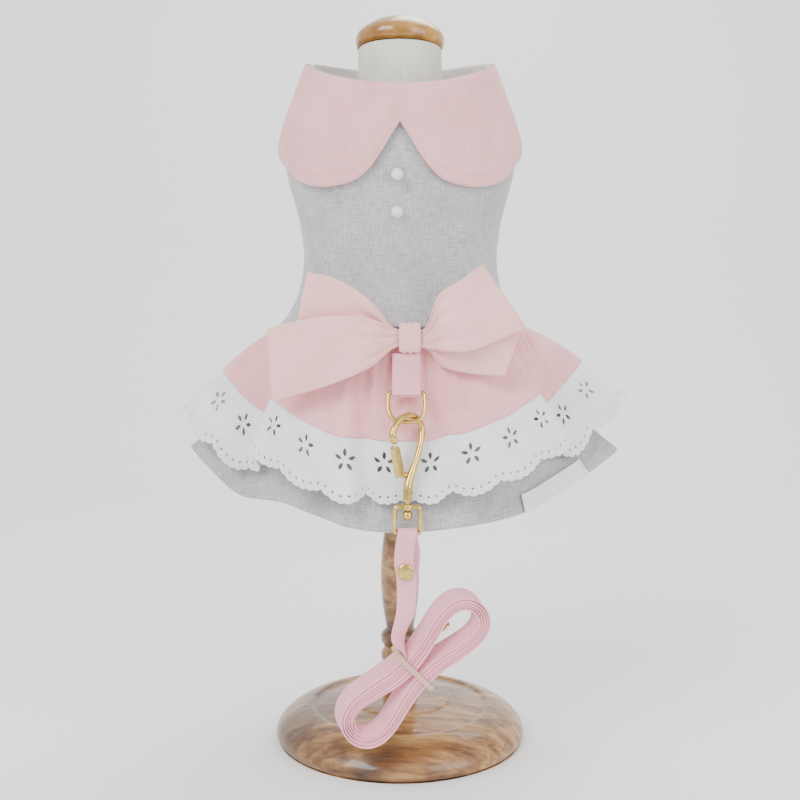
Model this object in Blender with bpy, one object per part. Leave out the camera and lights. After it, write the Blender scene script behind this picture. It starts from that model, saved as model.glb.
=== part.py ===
"""Small dog's harness dress on a turned wooden display stand, built as separate closed solids.

Frame: metres, +Z up, origin at the centre of the stand's flat foot, the front faces -Y.
"""
import math

import bmesh
import bpy
import numpy as np
from mathutils.geometry import delaunay_2d_cdt

MM = 0.001

# Stand
BASE_RADIUS = 73.6 * MM
BASE_HEIGHT = 23.0 * MM
POST_RADIUS = 11.4 * MM
FORM_BOTTOM = 205.0 * MM
NECK_RADIUS = 24.0 * MM
NECK_TOP = 403.0 * MM
CAP_RADIUS = 25.5 * MM
CAP_HEIGHT = 17.0 * MM

# Dress body
SEAM_HEIGHT = 243.5 * MM
RIM_SIDE = 394.5 * MM
RIM_BACK_RISE = 5.5 * MM
RIM_FRONT_DROP = 20.5 * MM
CHEST_HALF_WIDTH = 67.5 * MM
CHEST_HALF_DEPTH = 51.5 * MM
CLOTH = 1.4 * MM
FINE_CLOTH = 1.0 * MM
GAP = 0.35 * MM
LEG_HOLE = 21.0 * MM

# Collar and beads
COLLAR_LOW = 319.4 * MM
COLLAR_NOTCH = 33.0 * MM
COLLAR_LIFT = 1.6 * MM
PEARL_RADIUS = 3.25 * MM
PEARL_HEIGHTS = (("pearl_upper", 324.6 * MM), ("pearl_lower", 305.1 * MM))

# Skirt tiers
SKIRT_HALF_WIDTH = 130.0 * MM
SKIRT_HALF_DEPTH = 92.0 * MM
SKIRT_DROP = 89.0 * MM
SKIRT_BULGE = 9.0 * MM
TIER_INSET = 2.2 * MM
LACE_START = 0.656
LACE_GAP = 0.012
LACE_HEIGHT = 32.0 * MM
FLOWERS = 18
PETALS = 5
PETAL_REACH = 3.6 * MM
EYELET_LENGTH = 3.4 * MM
EYELET_WIDTH = 2.0 * MM
SCALLOP_DEPTH = 2.4 * MM

# Bow
RIBBON_WIDTH = 38.0 * MM
BOW_X = 5.2 * MM
BOW_Z = 238.2 * MM
KNOT_WIDTH = 11.5 * MM
KNOT_HEIGHT = 12.5 * MM

# Ring, hook and leash
TAB_WIDTH = 15.0 * MM
TAB_TOP = 229.7 * MM
RING_WIRE = 1.15 * MM
RING_HALF_WIDTH = 9.6 * MM
RING_BAR_HEIGHT = 209.8 * MM
RING_DROP = 14.6 * MM
RING_X = 3.4 * MM
RING_Y = -71.5 * MM
RING_LEAN = 7.5 * MM
HOOK_ARM = 1.65 * MM
HOOK_PLATE = 3.0 * MM
GATE_PIN = 0.8 * MM
GATE_WALL = 0.8 * MM
EYE_WIRE = 1.2 * MM
EYE_HALF_WIDTH = 6.6 * MM
EYE_HEIGHT = 13.6 * MM
SWIVEL_BALL = 2.7 * MM
STRAP_WIDTH = 10.0 * MM
STRAP = 1.0 * MM
STUD_RADIUS = 4.2 * MM
HANK_LAYERS = 5.0
HANK_HALF_LENGTH = 42.0 * MM
HANK_WAIST = 0.8 * MM
HANK_LOBE = 15.0 * MM
HANK_PITCH = 1.35 * MM
HANK_TURN = math.radians(46.0)
HANK_START = -0.04
LABEL_HEIGHT = 11.0 * MM

# Body sections from the waist seam (0) to the rim (1): shares of the chest's half width and half depth
BODY_ROWS = (
    # height, width, depth
    (0.00, 1.050, 1.110), (0.06, 0.950, 1.030), (0.13, 0.880, 0.960), (0.20, 0.845, 0.930),
    (0.27, 0.830, 0.915), (0.38, 0.855, 0.920), (0.48, 0.905, 0.950), (0.58, 0.965, 0.980),
    (0.68, 0.995, 1.000), (0.78, 0.955, 0.990), (0.88, 0.880, 0.940), (1.00, 0.785, 0.865),
)
# Collar's lower edge by angle from the front, in degrees: share of the notch's height
COLLAR_ROWS = (
    # angle, height
    (0, 1.0), (3, 0.84), (8, 0.53), (13, 0.28), (20, 0.09), (28, 0.02), (36, 0.0), (45, 0.03),
    (54, 0.12), (63, 0.29), (72, 0.47), (82, 0.65), (95, 0.81), (120, 0.93), (180, 0.97),
)
# Hem folds by the cloth's own angle: shares of the skirt's half width, half depth (front +) and drop
UPPER_HEM = (
    # cloth, across, forward, drop
    (-180, 0.00, -0.96, 0.93), (-165, -0.27, -0.87, 0.90), (-150, -0.50, -0.84, 0.82),
    (-135, -0.70, -0.60, 0.72), (-120, -0.88, -0.44, 0.62), (-96, -0.99, 0.00, 0.54),
    (-78, -0.85, 0.27, 0.73), (-64, -0.65, 0.40, 0.90), (-57, -0.59, 0.46, 0.86),
    (-50, -0.63, 0.58, 0.73), (-38, -0.41, 0.85, 0.90), (-24, -0.21, 0.95, 0.99),
    (-15, -0.125, 0.84, 0.985), (-8, -0.07, 0.895, 1.00), (0, 0.00, 0.905, 1.00),
    (10, 0.12, 0.90, 1.00), (17, 0.185, 0.86, 0.975), (25, 0.30, 0.95, 0.94),
    (38, 0.47, 0.87, 0.86), (50, 0.71, 0.56, 0.69), (57, 0.64, 0.43, 0.76),
    (64, 0.71, 0.35, 0.82), (80, 0.87, 0.20, 0.66), (98, 1.03, 0.00, 0.46),
    (120, 0.91, -0.42, 0.58), (135, 0.70, -0.60, 0.70), (150, 0.52, -0.84, 0.78),
    (165, 0.27, -0.87, 0.88),
)
LOWER_HEM = (
    # cloth, across, forward, drop
    (-180, 0.00, -0.84, 1.10), (-150, -0.46, -0.70, 0.99), (-120, -0.78, -0.36, 0.87),
    (-98, -0.945, 0.00, 0.78), (-80, -0.83, 0.19, 0.92), (-66, -0.66, 0.37, 1.06),
    (-54, -0.52, 0.54, 1.055), (-38, -0.35, 0.75, 1.10), (-20, -0.18, 0.87, 1.16),
    (0, 0.00, 0.895, 1.18), (20, 0.17, 0.87, 1.165), (36, 0.33, 0.80, 1.145),
    (50, 0.51, 0.64, 1.11), (66, 0.68, 0.42, 1.02), (80, 0.82, 0.25, 0.93),
    (98, 0.985, 0.00, 0.80), (120, 0.82, -0.36, 0.88), (150, 0.48, -0.70, 1.00),
)
# Ribbon stations from the left end to the right: shares of the ribbon's width from the knot's centre
BOW_FRONT_ROWS = (
    # upper x, upper z, lower x, lower z, stand-off
    (-1.97, 0.12, -1.90, -0.88, 0.10), (-1.60, 0.22, -1.62, -0.80, 0.16),
    (-1.10, 0.30, -1.15, -0.66, 0.22), (-0.56, 0.27, -0.56, -0.41, 0.20),
    (-0.20, 0.13, -0.20, -0.13, 0.00), (0.20, 0.13, 0.20, -0.14, 0.00),
    (0.38, 0.57, 0.50, -0.18, 0.20), (0.70, 0.80, 0.88, -0.16, 0.20),
    (1.00, 1.01, 1.61, 0.13, 0.06),
)
BOW_BACK_ROWS = (
    # upper x, upper z, lower x, lower z, stand-off
    (-1.42, 0.91, -1.62, -0.02, 0.00), (-1.10, 0.84, -1.22, -0.10, 0.03),
    (-0.80, 0.70, -0.92, -0.14, 0.04), (-0.46, 0.42, -0.50, -0.16, 0.04),
    (-0.20, 0.13, -0.20, -0.13, 0.00), (0.20, 0.13, 0.20, -0.14, 0.00),
    (0.50, 0.05, 0.46, -0.40, 0.05), (0.95, 0.05, 0.85, -0.50, 0.07),
    (1.58, 0.08, 1.33, -0.53, 0.05),
)
BOW_REACH_Y = -64.2 * MM
BOW_LAYER = 2.6 * MM
# Turned outlines: shares of the radius and of the height
BASE_ROWS = (
    # radius, height
    (0.980, 0.00), (1.000, 0.10), (1.000, 0.24), (0.980, 0.36), (0.925, 0.56), (0.820, 0.74),
    (0.715, 0.81), (0.698, 0.82), (0.685, 0.77), (0.640, 0.80), (0.520, 0.88), (0.420, 0.92),
    (0.400, 0.97), (0.280, 1.00),
)
POST_ROWS = (
    # radius, height
    (0.88, 0.000), (0.88, 0.125), (0.98, 0.135), (0.98, 0.150), (0.85, 0.162), (0.85, 0.175),
    (0.98, 0.186), (0.98, 0.212), (0.74, 0.225), (0.78, 0.250), (0.90, 0.300), (0.98, 0.350),
    (1.00, 0.410), (0.97, 0.470), (0.88, 0.520), (0.80, 0.560), (0.78, 1.000),
)
CAP_ROWS = (
    # radius, height
    (0.930, 0.00), (1.000, 0.12), (1.000, 0.34), (0.900, 0.56), (0.640, 0.82), (0.330, 0.96),
)


def clear_scene() -> None:
    """Remove what the file holds."""
    for item in list(bpy.data.objects):
        bpy.data.objects.remove(item, do_unlink=True)


def finish(name, verts, faces, colour, roughness, metallic=0.0, origin=None):
    """Make one named object with its own material; faces are turned outwards."""
    mesh = bpy.data.meshes.new(name)
    points = np.asarray(verts, dtype=float)
    if origin is not None:
        points = points - np.asarray(origin)
    mesh.from_pydata(points.tolist(), [], [list(map(int, face)) for face in faces])
    work = bmesh.new()
    work.from_mesh(mesh)
    bmesh.ops.recalc_face_normals(work, faces=work.faces)
    work.to_mesh(mesh)
    work.free()
    mesh.shade_smooth()
    mesh.set_sharp_from_angle(angle=math.radians(40))
    item = bpy.data.objects.new(name, mesh)
    bpy.context.scene.collection.objects.link(item)
    if origin is not None:
        item.location = origin
    material = bpy.data.materials.new(name + "_finish")
    material.use_nodes = True
    shader = material.node_tree.nodes["Principled BSDF"]
    shader.inputs["Base Color"].default_value = (*colour, 1.0)
    shader.inputs["Roughness"].default_value = roughness
    shader.inputs["Metallic"].default_value = metallic
    mesh.materials.append(material)
    return item


def smooth_rows(rows, at, period=None):
    """Read a table of rows at many places, with a smooth curve through the rows."""
    table = np.asarray(rows, dtype=float)
    if period is not None:
        before = table.copy()
        before[:, 0] -= period
        after = table.copy()
        after[:, 0] += period
        table = np.vstack([before, table, after])
    where = table[:, 0]
    at = np.asarray(at, dtype=float)
    columns = []
    for values in table[:, 1:].T:
        rise = np.diff(values) / np.diff(where)
        slope = np.zeros_like(values)
        both = rise[:-1] * rise[1:]
        slope[1:-1] = np.where(both > 0, 2 * both / np.where(both > 0, rise[:-1] + rise[1:], 1.0), 0.0)
        slope[0], slope[-1] = rise[0], rise[-1]
        cell = np.clip(np.searchsorted(where, at, side="right") - 1, 0, len(where) - 2)
        step = where[cell + 1] - where[cell]
        s = (at - where[cell]) / step
        columns.append(
            values[cell] * (2 * s**3 - 3 * s**2 + 1) + slope[cell] * step * (s**3 - 2 * s**2 + s)
            + values[cell + 1] * (3 * s**2 - 2 * s**3) + slope[cell + 1] * step * (s**3 - s**2))
    return columns


def rim_height(angle):
    """Neck rim by angle: high at the back, low at the front."""
    back = -np.cos(angle)
    return RIM_SIDE + (RIM_BACK_RISE + RIM_FRONT_DROP) / 2 * back \
        + (RIM_BACK_RISE - RIM_FRONT_DROP) / 2 * back**2


def body_point(angle, height, offset=0.0):
    """Point on the dress body; angle 0 is the front, height runs from the seam (0) to the rim (1)."""
    width, depth = smooth_rows(BODY_ROWS, height)
    half_x = CHEST_HALF_WIDTH * width + offset
    half_y = CHEST_HALF_DEPTH * depth + offset
    z = SEAM_HEIGHT + (rim_height(angle) - SEAM_HEIGHT) * height
    return np.stack([half_x * np.sin(angle), -half_y * np.cos(angle), z + 0.0 * angle], axis=-1)


def hem_point(angle, share, rows, inset, power, bulge):
    """Point on a skirt tier: from the waist seam (share 0) out and down to its hem (share 1)."""
    width, depth = BODY_ROWS[0][1], BODY_ROWS[0][2]
    half_x = CHEST_HALF_WIDTH * width - inset
    half_y = CHEST_HALF_DEPTH * depth - inset
    across, forward, drop = smooth_rows(rows, np.degrees(angle), 360.0)
    out = np.clip(share, 0.0, 2.0) ** power
    seam_x, seam_y = half_x * np.sin(angle), -half_y * np.cos(angle)
    x = seam_x + (SKIRT_HALF_WIDTH * across - seam_x) * out
    y = seam_y + (-SKIRT_HALF_DEPTH * forward - seam_y) * out
    side = np.sin(angle) ** 2
    z = SEAM_HEIGHT - 0.8 * MM - SKIRT_DROP * drop * share + bulge * side * 4 * share * (1 - share)
    return np.stack([x, y, z], axis=-1)


def upper_tier(angle, share):
    """The pink and white tier's middle surface."""
    return hem_point(angle, share, UPPER_HEM, CLOTH / 2, 1.35, SKIRT_BULGE)


def lower_tier(angle, share):
    """The grey tier's middle surface, inside the upper one."""
    return hem_point(angle, share, LOWER_HEM, TIER_INSET + CLOTH / 2, 1.5, 0.0)


def normals_of(surface, angle, share):
    """Unit normals of a surface by small steps in its two parameters."""
    step = 1e-4
    along = surface(angle + step, share) - surface(angle - step, share)
    down = surface(angle, share + step) - surface(angle, share - step)
    cross = np.cross(along, down)
    return -cross / np.linalg.norm(cross, axis=-1, keepdims=True)


def band(outer, inner, closed=True):
    """Closed solid between two grids of points (rows, columns), closed round the columns."""
    rows, columns = outer.shape[:2]
    count = rows * columns
    verts = np.vstack([outer.reshape(-1, 3), inner.reshape(-1, 3)])
    faces = []
    last = columns if closed else columns - 1
    for i in range(rows - 1):
        for j in range(last):
            k = (j + 1) % columns
            a, b, c, d = i * columns + j, i * columns + k, (i + 1) * columns + k, (i + 1) * columns + j
            faces.append((a, b, c, d))
            faces.append((a + count, d + count, c + count, b + count))
    for j in range(last):
        k = (j + 1) % columns
        top, low = (rows - 1) * columns + j, (rows - 1) * columns + k
        faces.append((j, j + count, k + count, k))
        faces.append((top, low, low + count, top + count))
    if not closed:
        for i in range(rows - 1):
            for j in (0, columns - 1):
                a, d = i * columns + j, (i + 1) * columns + j
                faces.append((a, d, d + count, a + count))
    return verts, faces


def skin(points):
    """Closed solid from rings of points: a side wall and two flat ends."""
    rows, columns = points.shape[:2]
    faces = [tuple(range(columns))[::-1], tuple((rows - 1) * columns + j for j in range(columns))]
    for i in range(rows - 1):
        for j in range(columns):
            k = (j + 1) % columns
            faces.append((i * columns + j, i * columns + k, (i + 1) * columns + k, (i + 1) * columns + j))
    return points.reshape(-1, 3), faces


def turned(name, rows, radius, height, base, steps, colour, roughness):
    """Turned solid from shares of its radius and height."""
    angle = np.linspace(0, 2 * np.pi, steps, endpoint=False)
    table = np.asarray(rows)
    r = table[:, :1] * radius
    z = base + table[:, 1:] * height + 0.0 * angle
    points = np.stack([r * np.cos(angle), r * np.sin(angle), z], axis=-1)
    verts, faces = skin(points)
    return finish(name, verts, faces, colour, roughness)


def tube(path, radius, sides, closed=False, face=(0.0, 1.0, 0.0)):
    """Round bar along a path, kept from twisting by a fixed face direction."""
    path = np.asarray(path, dtype=float)
    radius = np.broadcast_to(np.asarray(radius, dtype=float), (len(path),))
    if closed:
        tangent = np.roll(path, -1, axis=0) - np.roll(path, 1, axis=0)
    else:
        tangent = np.gradient(path, axis=0)
    tangent /= np.linalg.norm(tangent, axis=1, keepdims=True)
    side = np.cross(tangent, np.asarray(face))
    side /= np.linalg.norm(side, axis=1, keepdims=True)
    other = np.cross(tangent, side)
    turn = np.linspace(0, 2 * np.pi, sides, endpoint=False)
    ring = side[:, None] * np.cos(turn)[None, :, None] + other[:, None] * np.sin(turn)[None, :, None]
    points = path[:, None] + ring * radius[:, None, None]
    if not closed:
        return skin(points)
    rows = len(path)
    faces = []
    for i in range(rows):
        for j in range(sides):
            i2, j2 = (i + 1) % rows, (j + 1) % sides
            faces.append((i * sides + j, i * sides + j2, i2 * sides + j2, i2 * sides + j))
    return points.reshape(-1, 3), faces


def strap(path, across, width, thick):
    """Flat strap along a path; across gives the width's direction at each point."""
    path = np.asarray(path, dtype=float)
    across = np.broadcast_to(np.asarray(across, dtype=float), path.shape)
    across = across / np.linalg.norm(across, axis=1, keepdims=True)
    tangent = np.gradient(path, axis=0)
    face = np.cross(tangent, across)
    face /= np.linalg.norm(face, axis=1, keepdims=True)
    corners = ((0.5, 0.5), (-0.5, 0.5), (-0.5, -0.5), (0.5, -0.5))
    points = np.stack([path + across * width * a + face * thick * b for a, b in corners], axis=1)
    return skin(points)


def spline(points, steps):
    """Smooth curve through points, with a given number of steps between each two."""
    p = np.asarray(points, dtype=float)
    p = np.vstack([2 * p[0] - p[1], p, 2 * p[-1] - p[-2]])
    out = []
    for i in range(1, len(p) - 2):
        for s in np.linspace(0, 1, steps, endpoint=False):
            out.append(0.5 * (2 * p[i] + (p[i + 1] - p[i - 1]) * s
                              + (2 * p[i - 1] - 5 * p[i] + 4 * p[i + 1] - p[i + 2]) * s**2
                              + (3 * p[i] - p[i - 1] - 3 * p[i + 1] + p[i + 2]) * s**3))
    out.append(p[-2])
    return np.array(out)


def ball(centre, radius, sides=12, rings=8):
    """Round bead as rings of points with closed poles."""
    lift = np.linspace(-1, 1, rings + 1)[1:-1] * np.pi / 2
    turn = np.linspace(0, 2 * np.pi, sides, endpoint=False)
    points = np.stack([np.cos(lift)[:, None] * np.cos(turn), np.cos(lift)[:, None] * np.sin(turn),
                       np.sin(lift)[:, None] + 0 * turn], axis=-1) * radius + np.asarray(centre)
    return skin(points)


def fuse(item, others):
    """Join solids to one body with exact unions, and remove the helpers."""
    for other in others:
        union = item.modifiers.new("union", "BOOLEAN")
        union.operation = "UNION"
        union.solver = "EXACT"
        union.object = other
        other.hide_render = True
        other.display_type = "WIRE"
    return item


GREY = (0.47, 0.47, 0.48)
PINK = (0.78, 0.50, 0.53)
RIBBON_PINK = (0.88, 0.62, 0.62)
WHITE = (0.82, 0.84, 0.86)
GILT = (0.78, 0.62, 0.28)
WOOD = (0.36, 0.21, 0.09)
HONEY = (0.55, 0.31, 0.08)
CANVAS = (0.72, 0.71, 0.66)


def build_stand():
    """Foot, post, cloth-covered form and cap, one on the other."""
    turned("stand_base", BASE_ROWS, BASE_RADIUS, BASE_HEIGHT, 0.0, 22, WOOD, 0.35)
    post_base = BASE_HEIGHT + GAP
    turned("stand_post", POST_ROWS, POST_RADIUS, FORM_BOTTOM - GAP - post_base, post_base, 12, WOOD, 0.35)
    turned("neck_cap", CAP_ROWS, CAP_RADIUS, CAP_HEIGHT, NECK_TOP + GAP, 20, HONEY, 0.3)
    angle = np.linspace(-np.pi, np.pi, 24, endpoint=False)
    rings = []
    for width, depth, height in ((0.80, 0.84, 0.0), (0.94, 0.98, 0.35), (0.955, 1.01, 0.92)):
        z = FORM_BOTTOM + (SEAM_HEIGHT - FORM_BOTTOM) * height + 0 * angle
        rings.append(np.stack([CHEST_HALF_WIDTH * width * np.sin(angle),
                               -CHEST_HALF_DEPTH * depth * np.cos(angle), z], axis=-1))
    inset = -(CLOTH + 3 * GAP)
    for height in (0.05, 0.12, 0.20, 0.28, 0.40, 0.52, 0.62, 0.71, 0.80):
        rings.append(body_point(angle, height, inset))
    neck = np.stack([np.sin(angle), -np.cos(angle), 0 * angle], axis=-1) * NECK_RADIUS
    shoulder = neck + (0, 0, rim_height(0.0) - 3 * MM)
    rings.append(rings[-1] * 0.45 + shoulder * 0.55 + (0, 0, 2 * MM))
    rings.append(shoulder)
    rings.append(neck + (0, 0, NECK_TOP))
    verts, faces = skin(np.array(rings))
    finish("form_body", verts, faces, CANVAS, 0.8)


def build_body():
    """Grey bodice shell with its leg holes, the white facing, the collar and the two beads."""
    angle = np.linspace(-np.pi, np.pi, 28, endpoint=False)
    heights = (0.0, 0.05, 0.12, 0.20, 0.30, 0.42, 0.55, 0.68, 0.80, 0.90, 1.0)
    outer = np.array([body_point(angle, height) for height in heights])
    inner = np.array([body_point(angle, height, -CLOTH) for height in heights])
    verts, faces = band(outer, inner)
    bodice = finish("bodice", verts, faces, GREY, 0.9)
    for side in (-1, 1):
        turn = math.radians(180 - 40 * side)
        middle = body_point(np.array([turn]), 0.58)[0]
        away = np.array([math.sin(turn), -math.cos(turn), 0.0])
        path = np.array([middle - away * 12 * MM, middle + away * 12 * MM])
        verts, faces = tube(path, LEG_HOLE, 12, face=(0, 0, 1))
        cutter = finish(f"leg_cutter_{side}", verts, faces, GREY, 0.9)
        cutter.hide_render = True
        cutter.display_type = "WIRE"
        cut = bodice.modifiers.new("leg_hole", "BOOLEAN")
        cut.operation = "DIFFERENCE"
        cut.solver = "EXACT"
        cut.object = cutter

    heights = (0.88, 0.94, 0.995)
    start = -(CLOTH + GAP)
    outer = np.array([body_point(angle, height, start) for height in heights])
    inner = np.array([body_point(angle, height, start - FINE_CLOTH) for height in heights])
    verts, faces = band(outer, inner)
    finish("neck_lining", verts, faces, WHITE, 0.9)

    half = np.linspace(0, 1, 21) ** 1.35 * np.pi
    angle = np.concatenate([-half[::-1], half[1:-1]])
    edge, = smooth_rows(COLLAR_ROWS, np.abs(np.degrees(angle)))
    low = (COLLAR_LOW + COLLAR_NOTCH * edge - SEAM_HEIGHT) / (rim_height(angle) - SEAM_HEIGHT)
    layers = []
    for offset in (GAP + 0.25 * MM, GAP + 0.25 * MM + CLOTH):
        rows = [body_point(angle, 1 + (low - 1) * s, offset + COLLAR_LIFT * s**2) for s in (0, 0.33, 0.67, 1)]
        layers.append(np.array(rows))
    verts, faces = band(layers[1], layers[0])
    finish("collar", verts, faces, PINK, 0.9)

    for name, height in PEARL_HEIGHTS:
        share = (height - SEAM_HEIGHT) / (rim_height(0.0) - SEAM_HEIGHT)
        y = body_point(np.zeros(1), share)[0][1] - GAP - PEARL_RADIUS
        verts, faces = ball((0, 0, 0), PEARL_RADIUS, 10, 7)
        finish(name, verts, faces, WHITE, 0.2).location = (-1.5 * MM, y, height)


def tier(name, surface, shares, columns, colour):
    """One closed cloth tier of a skirt, thickened both ways from its middle surface."""
    angle = np.linspace(-np.pi, np.pi, columns, endpoint=False)
    middle = np.array([surface(angle, share) for share in shares])
    normal = np.array([normals_of(surface, angle, max(share, 0.02)) for share in shares])
    verts, faces = band(middle + normal * FINE_CLOTH / 2, middle - normal * FINE_CLOTH / 2)
    return finish(name, verts, faces, colour, 0.9)


def flower(centre):
    """Outlines of one flower's petal eyelets, as slim diamonds round a centre."""
    out = []
    for petal in range(PETALS):
        turn = 2 * math.pi * petal / PETALS + math.pi / 2
        along = np.array([math.cos(turn), math.sin(turn)])
        across = np.array([-along[1], along[0]])
        middle = np.asarray(centre) + along * PETAL_REACH
        out.append([middle + along * EYELET_LENGTH / 2, middle + across * EYELET_WIDTH / 2,
                    middle - along * EYELET_LENGTH / 2, middle - across * EYELET_WIDTH / 2])
    return out


def build_lace():
    """White trim: a scalloped strip with petal eyelets cut through, laid along the upper tier's hem."""
    fine = np.linspace(-np.pi, np.pi, 1441)
    line = upper_tier(fine, (1 + LACE_START) / 2)
    run = np.concatenate([[0], np.cumsum(np.linalg.norm(np.diff(line, axis=0), axis=1))])
    total = run[-1]
    repeat = total / FLOWERS
    edge = []
    steps = FLOWERS * 4
    for i in range(steps + 1):
        x = total * i / steps
        edge.append((x, -SCALLOP_DEPTH * abs(math.sin(math.pi * x / repeat)) - LACE_HEIGHT + SCALLOP_DEPTH))
    top = [(total * i / steps, 0.0) for i in range(steps, -1, -1)]
    outline = edge + [(total, -LACE_HEIGHT * 0.5)] + top + [(0.0, -LACE_HEIGHT * 0.5)]
    points = [tuple(p) for p in outline]
    edges = [(i, (i + 1) % len(points)) for i in range(len(points))]
    holes = []
    for i in range(FLOWERS):
        centre = (repeat * (i + 0.5), -LACE_HEIGHT * 0.47)
        for petal in flower(centre):
            first = len(points)
            points += [tuple(p) for p in petal]
            edges += [(first + k, first + (k + 1) % 4) for k in range(4)]
            holes.append(np.mean(petal, axis=0))
        points += [centre, (repeat * (i + 0.98), -LACE_HEIGHT * 0.3), (repeat * (i + 0.98), -LACE_HEIGHT * 0.7)]
    scale = 1000.0
    flat = delaunay_2d_cdt([(x * scale, y * scale) for x, y in points], edges, [], 1, 1e-5)
    places = np.array([tuple(p) for p in flat[0]]) / scale
    keep = []
    for face in flat[2]:
        middle = places[list(face)].mean(axis=0)
        if min(np.linalg.norm(np.array(holes) - middle, axis=1)) > EYELET_WIDTH * 0.35:
            keep.append(tuple(face))
    angle = np.interp(places[:, 0], run, fine)
    share = LACE_START + LACE_GAP + (1 - LACE_START - LACE_GAP) * -places[:, 1] / LACE_HEIGHT
    middle = upper_tier(angle, share)
    normal = normals_of(upper_tier, angle, share)
    count = len(places)
    verts = np.vstack([middle + normal * FINE_CLOTH / 2, middle - normal * FINE_CLOTH / 2])
    faces = list(keep) + [tuple(v + count for v in face[::-1]) for face in keep]
    seen = {}
    for face in keep:
        for k in range(3):
            pair = (face[k], face[(k + 1) % 3])
            seen[tuple(sorted(pair))] = seen.get(tuple(sorted(pair)), []) + [pair]
    ends = (0.0, total)
    for pairs in seen.values():
        a, b = pairs[0]
        on_end = any(abs(places[a][0] - e) < 1e-7 and abs(places[b][0] - e) < 1e-7 for e in ends)
        if len(pairs) == 1 and not on_end:
            faces.append((b, a, a + count, b + count))
    item = finish("lace_trim", verts, faces, WHITE, 0.85)
    work = bmesh.new()
    work.from_mesh(item.data)
    bmesh.ops.remove_doubles(work, verts=work.verts, dist=0.00002)
    bmesh.ops.recalc_face_normals(work, faces=work.faces)
    work.to_mesh(item.data)
    work.free()


def build_skirt():
    """Pink tier, its white trim, the grey tier under them and the plain hem label."""
    shares = LACE_START * np.array([0, 0.3, 0.6, 0.82, 1.0])
    tier("skirt_upper", upper_tier, shares, 60, PINK)
    build_lace()
    tier("skirt_lower", lower_tier, (0, 0.3, 0.58, 0.82, 1.0), 48, GREY)
    angle = np.radians(np.linspace(50, 80, 7))
    layers = []
    for offset in (FINE_CLOTH / 2 + 2 * GAP, FINE_CLOTH * 1.5 + 2 * GAP):
        rows = []
        for share in (0.905, 1.005):
            rows.append(lower_tier(angle, share) + normals_of(lower_tier, angle, share) * offset)
        layers.append(np.array(rows))
    verts, faces = band(layers[1], layers[0], closed=False)
    finish("hem_label", verts, faces, WHITE, 0.5)


def ribbon(name, rows, y):
    """One stiff ribbon of the bow, with a crowned face, from its table of stations."""
    stations = spline(rows, 2)
    ux, uz, lx, lz, lift = (stations * RIBBON_WIDTH).T
    across = np.linspace(0, 1, 5)
    crown = 0.05 * RIBBON_WIDTH * 4 * across * (1 - across)
    x = BOW_X + ux[:, None] + (lx - ux)[:, None] * across
    z = BOW_Z + uz[:, None] + (lz - uz)[:, None] * across
    open_share = np.clip((uz - lz) / RIBBON_WIDTH, 0, 1)[:, None]
    depth = y - lift[:, None] - crown * (open_share - 0.3).clip(0)
    front = np.stack([x, depth - FINE_CLOTH / 2 + 0 * x, z], axis=-1)
    back = np.stack([x, depth + FINE_CLOTH / 2 + 0 * x, z], axis=-1)
    verts, faces = band(front, back, closed=False)
    return finish(name, verts, faces, RIBBON_PINK, 0.7)


def build_bow():
    """Two crossing ribbons and the band that pinches them."""
    ribbon("bow_front", BOW_FRONT_ROWS, BOW_REACH_Y)
    ribbon("bow_back", BOW_BACK_ROWS, BOW_REACH_Y + BOW_LAYER)
    turn = np.linspace(0, 2 * np.pi, 12, endpoint=False)
    middle_y = BOW_REACH_Y + BOW_LAYER / 2
    inner_y, inner_z = BOW_LAYER / 2 + FINE_CLOTH / 2 + 2 * GAP, KNOT_HEIGHT / 2 + GAP
    layers = []
    for wall in (0.0, CLOTH):
        power = 0.5
        y = middle_y + (inner_y + wall) * np.sign(np.cos(turn)) * np.abs(np.cos(turn)) ** power
        z = BOW_Z + (inner_z + wall) * np.sign(np.sin(turn)) * np.abs(np.sin(turn)) ** power
        layers.append([np.stack([BOW_X + side * KNOT_WIDTH / 2 + 0 * y, y, z], axis=-1) for side in (-1, 0, 1)])
    verts, faces = band(np.array(layers[1]), np.array(layers[0]))
    finish("bow_knot", verts, faces, RIBBON_PINK, 0.7)


def build_ring():
    """Webbing tab folded over the D-ring's straight bar, and the ring."""
    fold = RING_WIRE + 1.5 * GAP + STRAP / 2
    bend = np.linspace(0, np.pi, 7)
    loop = [(RING_Y + fold * math.cos(b), RING_BAR_HEIGHT - fold * math.sin(b)) for b in bend]
    path = [(-60.7 * MM, TAB_TOP), (-65.0 * MM, 219 * MM)] + loop + [(-67.6 * MM, 219 * MM), (-62.7 * MM, TAB_TOP)]
    path = np.array([(RING_X, y, z) for y, z in path])
    verts, faces = strap(path, (1, 0, 0), TAB_WIDTH, STRAP)
    finish("ring_tab", verts, faces, RIBBON_PINK, 0.5)
    w, d = RING_HALF_WIDTH, RING_DROP
    half = [(0.0, 0.0), (0.86 * w, 0.0), (w, 0.16 * d), (w, 0.52 * d), (0.88 * w, 0.78 * d),
            (0.60 * w, 0.97 * d), (0.2 * w, d)]
    outline = half + [(-x, z) for x, z in half[:0:-1]]
    path = [(RING_X + x, RING_Y - RING_LEAN * z / d, RING_BAR_HEIGHT - z) for x, z in outline]
    path = np.array(path)
    verts, faces = tube(path, RING_WIRE, 6, closed=True)
    finish("d_ring", verts, faces, GILT, 0.2, 1.0)


def hook_place(x, z):
    """Place on the hook's warped plane, for an x and a height in millimetres."""
    lean = -79.6 - 0.1935 * (198 - z)
    turn = 0.3 + 0.6 * min(max((z - 165) / 25, 0), 1)
    return np.array([x, lean + turn * (x - 4), z]) * MM


PIVOT = hook_place(0.0, 169.6)
GATE_TIP = hook_place(-2.2, 183.5)
SPINE = hook_place(10.7, 183.5)


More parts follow.
